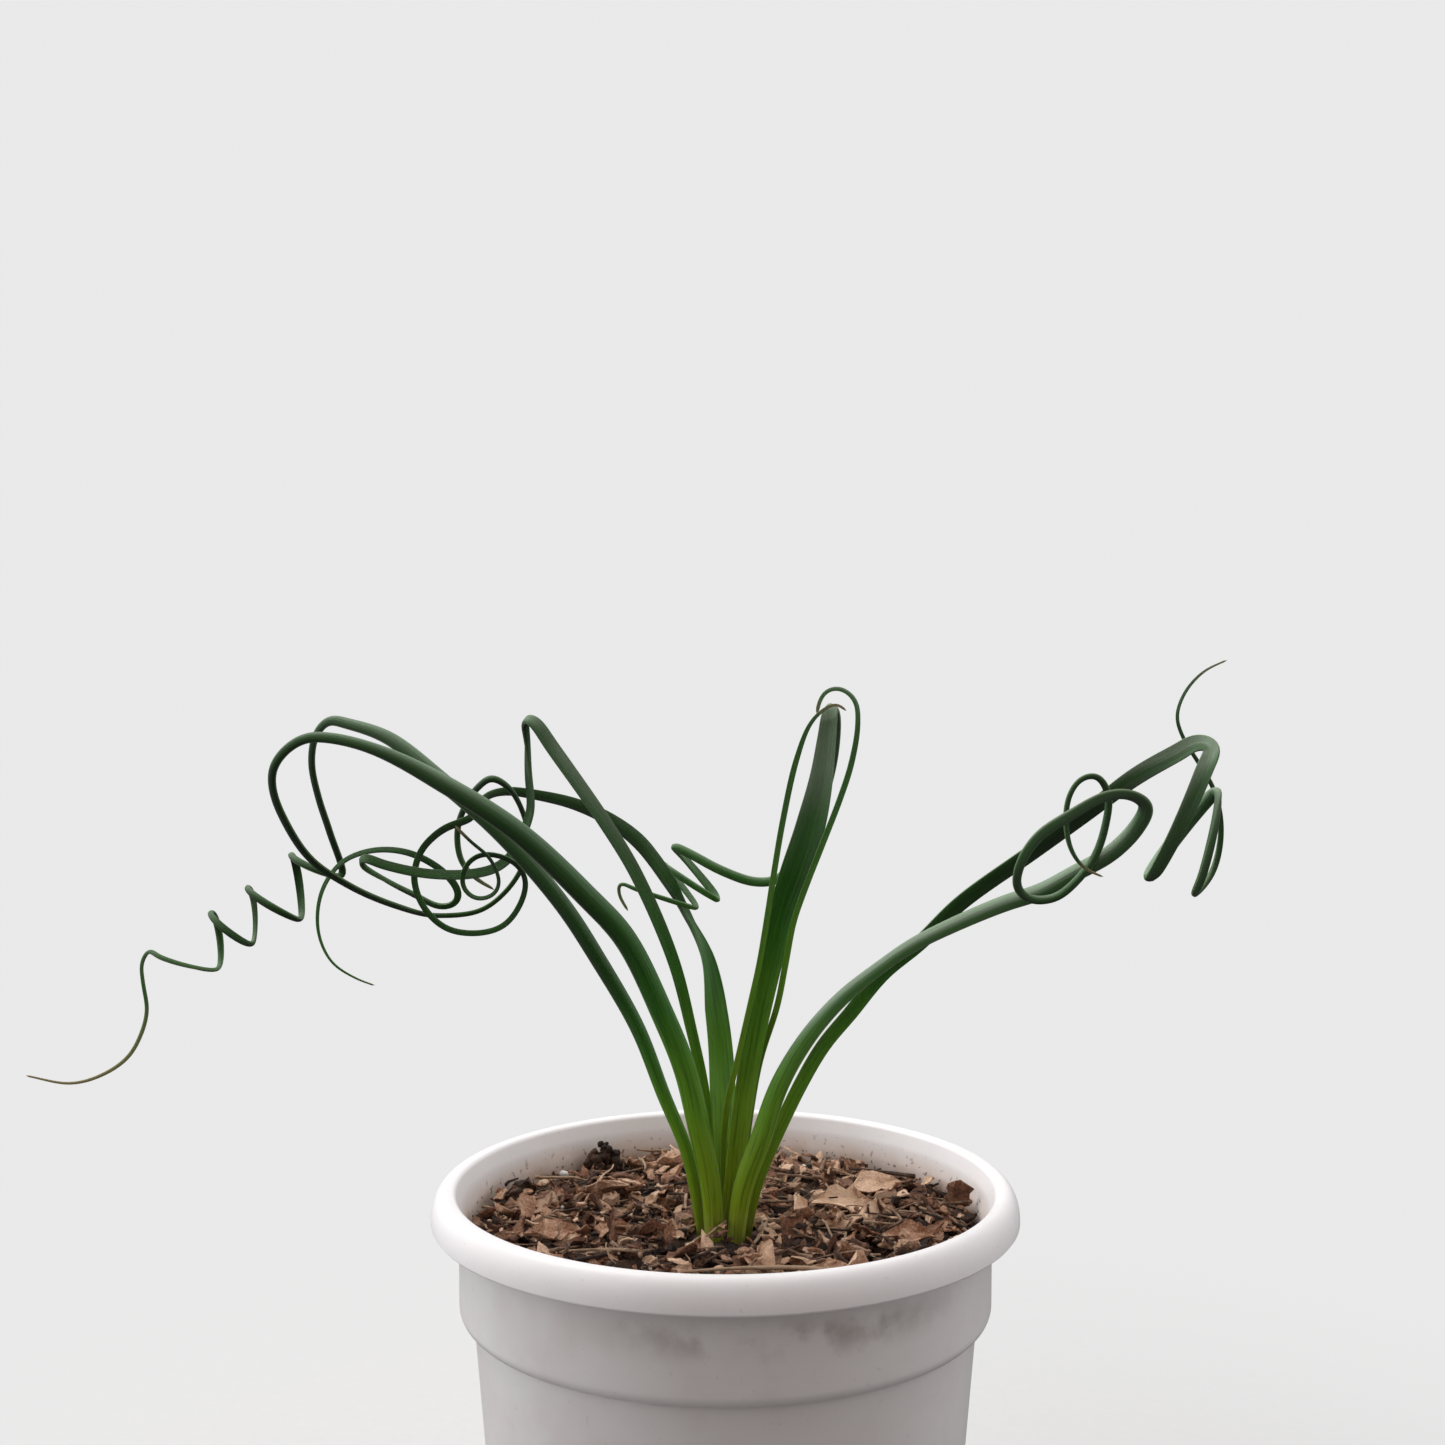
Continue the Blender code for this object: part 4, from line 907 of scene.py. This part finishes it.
def smooth_route(route):
    """A centripetal Catmull-Rom curve through the route, cut into equal steps, then rounded by a bell-shaped
    mean of its neighbours, ROUNDING millimetres wide, with its ends left where they are."""
    p = np.vstack([2 * route[0] - route[1], route, 2 * route[-1] - route[-2]])
    knot = np.maximum(np.sqrt(np.linalg.norm(np.diff(p, axis=0), axis=1)), 0.1)[:, None]
    a, b, c = knot[:-2], knot[1:-1], knot[2:]
    p0, p1, p2, p3 = p[:-3], p[1:-2], p[2:-1], p[3:]
    m1 = (p2 - p1) + b * ((p1 - p0) / a - (p2 - p0) / (a + b))
    m2 = (p2 - p1) + b * ((p3 - p2) / c - (p3 - p1) / (b + c))
    s = (np.arange(12) / 12)[None, :, None]
    p1, p2, m1, m2 = (v[:, None] for v in (p1, p2, m1, m2))
    fine = (2 * s**3 - 3 * s**2 + 1) * p1 + (s**3 - 2 * s**2 + s) * m1
    fine = fine + (3 * s**2 - 2 * s**3) * p2 + (s**3 - s**2) * m2
    fine = np.vstack([fine.reshape(-1, 3), route[-1:]])
    length = np.append(0, np.cumsum(np.linalg.norm(np.diff(fine, axis=0), axis=1)))
    even = np.linspace(0, length[-1], int(length[-1] / LEAF_STEP) + 1)
    path = np.stack([np.interp(even, length, fine[:, i]) for i in range(3)], 1)
    wide = int(3 * ROUNDING / LEAF_STEP)
    kernel = np.exp(-0.5 * (np.arange(-wide, wide + 1) * LEAF_STEP / ROUNDING) ** 2)
    padded = np.vstack([2 * path[0] - path[wide:0:-1], path, 2 * path[-1] - path[-2:-wide - 2:-1]])
    rounded = np.stack([np.convolve(padded[:, i], kernel / kernel.sum(), "valid") for i in range(3)], 1)
    return rounded, even / length[-1]


def carried_face(tangents):
    """The leaf's face along the path: carried on unturned from station to station, easing to front or back.
    Each face follows from the last, so this goes station by station."""
    face = np.array((0.0, -1.0, 0.0))
    ease = FACE_EASE * LEAF_STEP
    faces = np.empty_like(tangents)
    for k, tangent in enumerate(tangents):
        face = face - tangent * (tangent @ face)
        face /= np.linalg.norm(face)
        side = -1.0 if face[1] < 0 else 1.0
        face = face + (np.array((0.0, side, 0.0)) - tangent * (side * tangent[1])) * ease
        face /= np.linalg.norm(face)
        faces[k] = face
    return faces


def leaf_skin():
    """Waxy leaf: green by height above the soil, streaks and fine lines by a noise drawn out along the leaf,
    painted shade on sides that face down, a grey-green waxy coat with a painted sheen on sides that face up,
    a painted highlight along the edges and dried ends, all by the leaf's own numbers."""
    material, tree = new_tree("leaf_skin")
    place = add(tree, "ShaderNodeTexCoord", output=3)
    height = Wire(tree, add(tree, "ShaderNodeSeparateXYZ", None, {0: place}).socket.node.outputs[2])

    def number(name):
        return add(tree, "ShaderNodeAttribute", {"attribute_name": name}, output=2)

    along, across, sky_side = map(number, ("along", "across", "skyward"))
    bloom, dry, fresh = map(number, ("bloom", "dry", "fresh"))
    own = add(tree, "ShaderNodeCombineXYZ", None, {0: across * 2.6, 1: along * 0.028, 2: along * 0.003})
    streak = noise(tree, own, 2.2, 3.0, 0.6)
    narrow = add(tree, "ShaderNodeCombineXYZ", None, {0: across * 11.0, 1: along * 0.05})
    fine = noise(tree, narrow, 1.0, 2.0)
    cloud = noise(tree, place, 70.0, 3.0)
    rise = (height - SOIL_TOP * MM) * (1 - fresh) * (1 / (GREEN_RISE * MM))
    rise = rise + (streak - 0.5) * 0.16 + (cloud - 0.5) * 0.12
    colour = add(tree, "ShaderNodeValToRGB", {"stops": [
        (0.0, (0.26, 0.29, 0.045)), (0.08, (0.19, 0.29, 0.006)), (0.30, (0.105, 0.27, 0.005)),
        (0.55, (0.024, 0.15, 0.003)), (0.80, (0.011, 0.080, 0.003)), (1.0, (0.012, 0.070, 0.006)),
    ]}, {0: rise})
    colour = mixed(spread(streak, 0.48, 0.64) * 0.45, colour, DARK_GREEN)
    colour = mixed(spread(fine, 0.55, 0.75) * 0.2, colour, PALE_GREEN)
    # Painted shade: the colour darkens towards near black on sides that face down, less where the waxy coat is
    # strong.
    underside_shade = spread(sky_side + bloom * 0.25, 0.5, -0.4)
    colour = mixed(underside_shade * spread(rise, 0.4, 0.85) * 0.92, colour, SHADE_GREEN)
    # The waxy coat is real, but it is made stronger on sides that face up: there it is a painted sheen.
    wax_and_sheen = (0.1 + spread(sky_side, 0.0, 0.95) * 0.9) * bloom * (0.45 + streak * 0.7)
    colour = mixed(wax_and_sheen, colour, WAX_AND_SHEEN)
    # A painted highlight along both edges of the leaf.
    rim = spread(across.math("ABSOLUTE", across), 0.93, 1.0)
    colour = mixed(rim * (0.12 + fine * 0.3), colour, RIM_HIGHLIGHT_GREEN)
    colour = mixed(dry, colour, DRY_TAN)
    gloss = 0.40 + streak * 0.14 + wax_and_sheen * 0.18 + dry * 0.2
    return dress(material, colour, gloss, streak + fine * 0.6, 0.00014, Specular_IOR_Level=0.25)


def leaf_width(name, share):
    """Width at each station: the leaf's own widths, blended by a raised cosine, and rounded off at the tip
    by the square root of the distance to it."""
    width = np.interp(share, *zip(*WIDTHS[name]))
    kernel = np.hanning(WIDTH_BLEND) / np.hanning(WIDTH_BLEND).sum()
    width = np.convolve(np.pad(width, WIDTH_BLEND // 2, mode="edge"), kernel, "valid")
    from_tip = (1 - share) * len(share) * LEAF_STEP
    return (width * np.sqrt(np.clip(from_tip / (1.5 * width), 0.02, 1)))[:, None]


def leaf_section(width, round_off, edgewise, around):
    """Sideways reach and height of the section: a bent lens, whose middle line is a parabola across the
    width, whose half-thickness is a rounded lens, with fine ribs on it. It is nearly round where round_off
    is 1, and its inner half is cut short in a sharp edgewise turn, so that it doesn't fold over."""
    q = np.cos(around)
    fade = np.clip((width - THIN_WIDTH) / 2.5, 0, 1)
    depth = 0.55 * np.minimum(width, THIN_WIDTH) + 0.16 * np.maximum(width - THIN_WIDTH, 0)
    thick = 0.62 * np.minimum(width, 1.4) + 0.09 * np.maximum(width - 1.4, 0)
    depth = depth * (1 - round_off)
    thick = thick + round_off * (TURN_ROUND * width - thick)
    width = width * (1 - 0.3 * round_off)
    middle = depth * (0.5 - (1 - q**2) * (0.35 + 0.65 * fade))
    lens = np.sign(np.sin(around)) * np.abs(np.sin(around)) ** 0.75
    rib = RIB_HEIGHT * fade * np.cos(np.pi * RIBS * q) * np.abs(np.sin(around))
    reach = 0.5 * width * q
    reach = reach * np.minimum(1, INNER_REACH / np.maximum(edgewise * reach, 0.01))
    return reach, middle + lens * (thick / 2 + rib)


def grow_leaf(name, material):
    """A leaf as a grid of two parameters, along its path and around its section, which is carried along the
    path on the leaf's turned face."""
    route = np.array(ROUTES[name], float)
    if name in TURNS:
        reach, turning = TURNS[name]
        route = np.vstack([route, swing(turning, reach), ENDS[name]])
    path, share = smooth_route(route)
    tangent = np.gradient(path, axis=0)
    tangent /= np.linalg.norm(tangent, axis=1)[:, None]
    face = carried_face(tangent)
    twist = np.radians(np.interp(share, *zip(*TWISTS[name])))[:, None]
    up = face * np.cos(twist) + np.cross(tangent, face) * np.sin(twist)
    side = np.cross(tangent, up)
    around = full_turn(SECTION_POINTS)[None]
    round_off = np.where(share[:, None] > ROUND_FROM, tangent[:, 1:2] ** 2, 0)
    edgewise = (np.gradient(tangent, axis=0) * side).sum(1)[:, None] / LEAF_STEP
    reach, rise = leaf_section(leaf_width(name, share), round_off, edgewise, around)
    points = crown + path[:, None] + (side[:, None] * reach[..., None] + up[:, None] * rise[..., None])
    normal = up[:, None] * np.sin(around)[..., None] + side[:, None] * (np.cos(around) * 0.8)[..., None]
    skyward = (normal / np.linalg.norm(normal, axis=2, keepdims=True))[..., 2]
    flat = np.ones_like(skyward)
    start, amount = DRY[name]
    dried = amount * np.clip((share - start) / (1 - start), 0, 1)[:, None] ** 0.6
    values = {
        "along": flat * (share * len(share) * LEAF_STEP)[:, None] + 100 * sorted(ROUTES).index(name),
        "across": flat * np.cos(around), "skyward": skyward, "dry": flat * dried,
        "bloom": flat * np.interp(share, *zip(*BLOOM_AND_SHEEN[name]))[:, None],
        "fresh": flat * FRESH[name],
    }
    last = (len(path) - 1) * SECTION_POINTS
    ends = [list(range(SECTION_POINTS)), list(range(last, last + SECTION_POINTS))]
    faces = strips(len(path), SECTION_POINTS).tolist() + ends
    leaf = mesh_piece(name.replace("leaf_", "curl_"), points * MM, faces, material, values=values)
    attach(leaf, "root")
    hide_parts(name)


skin = leaf_skin()
for leaf_name in ROUTES:
    grow_leaf(leaf_name, skin)
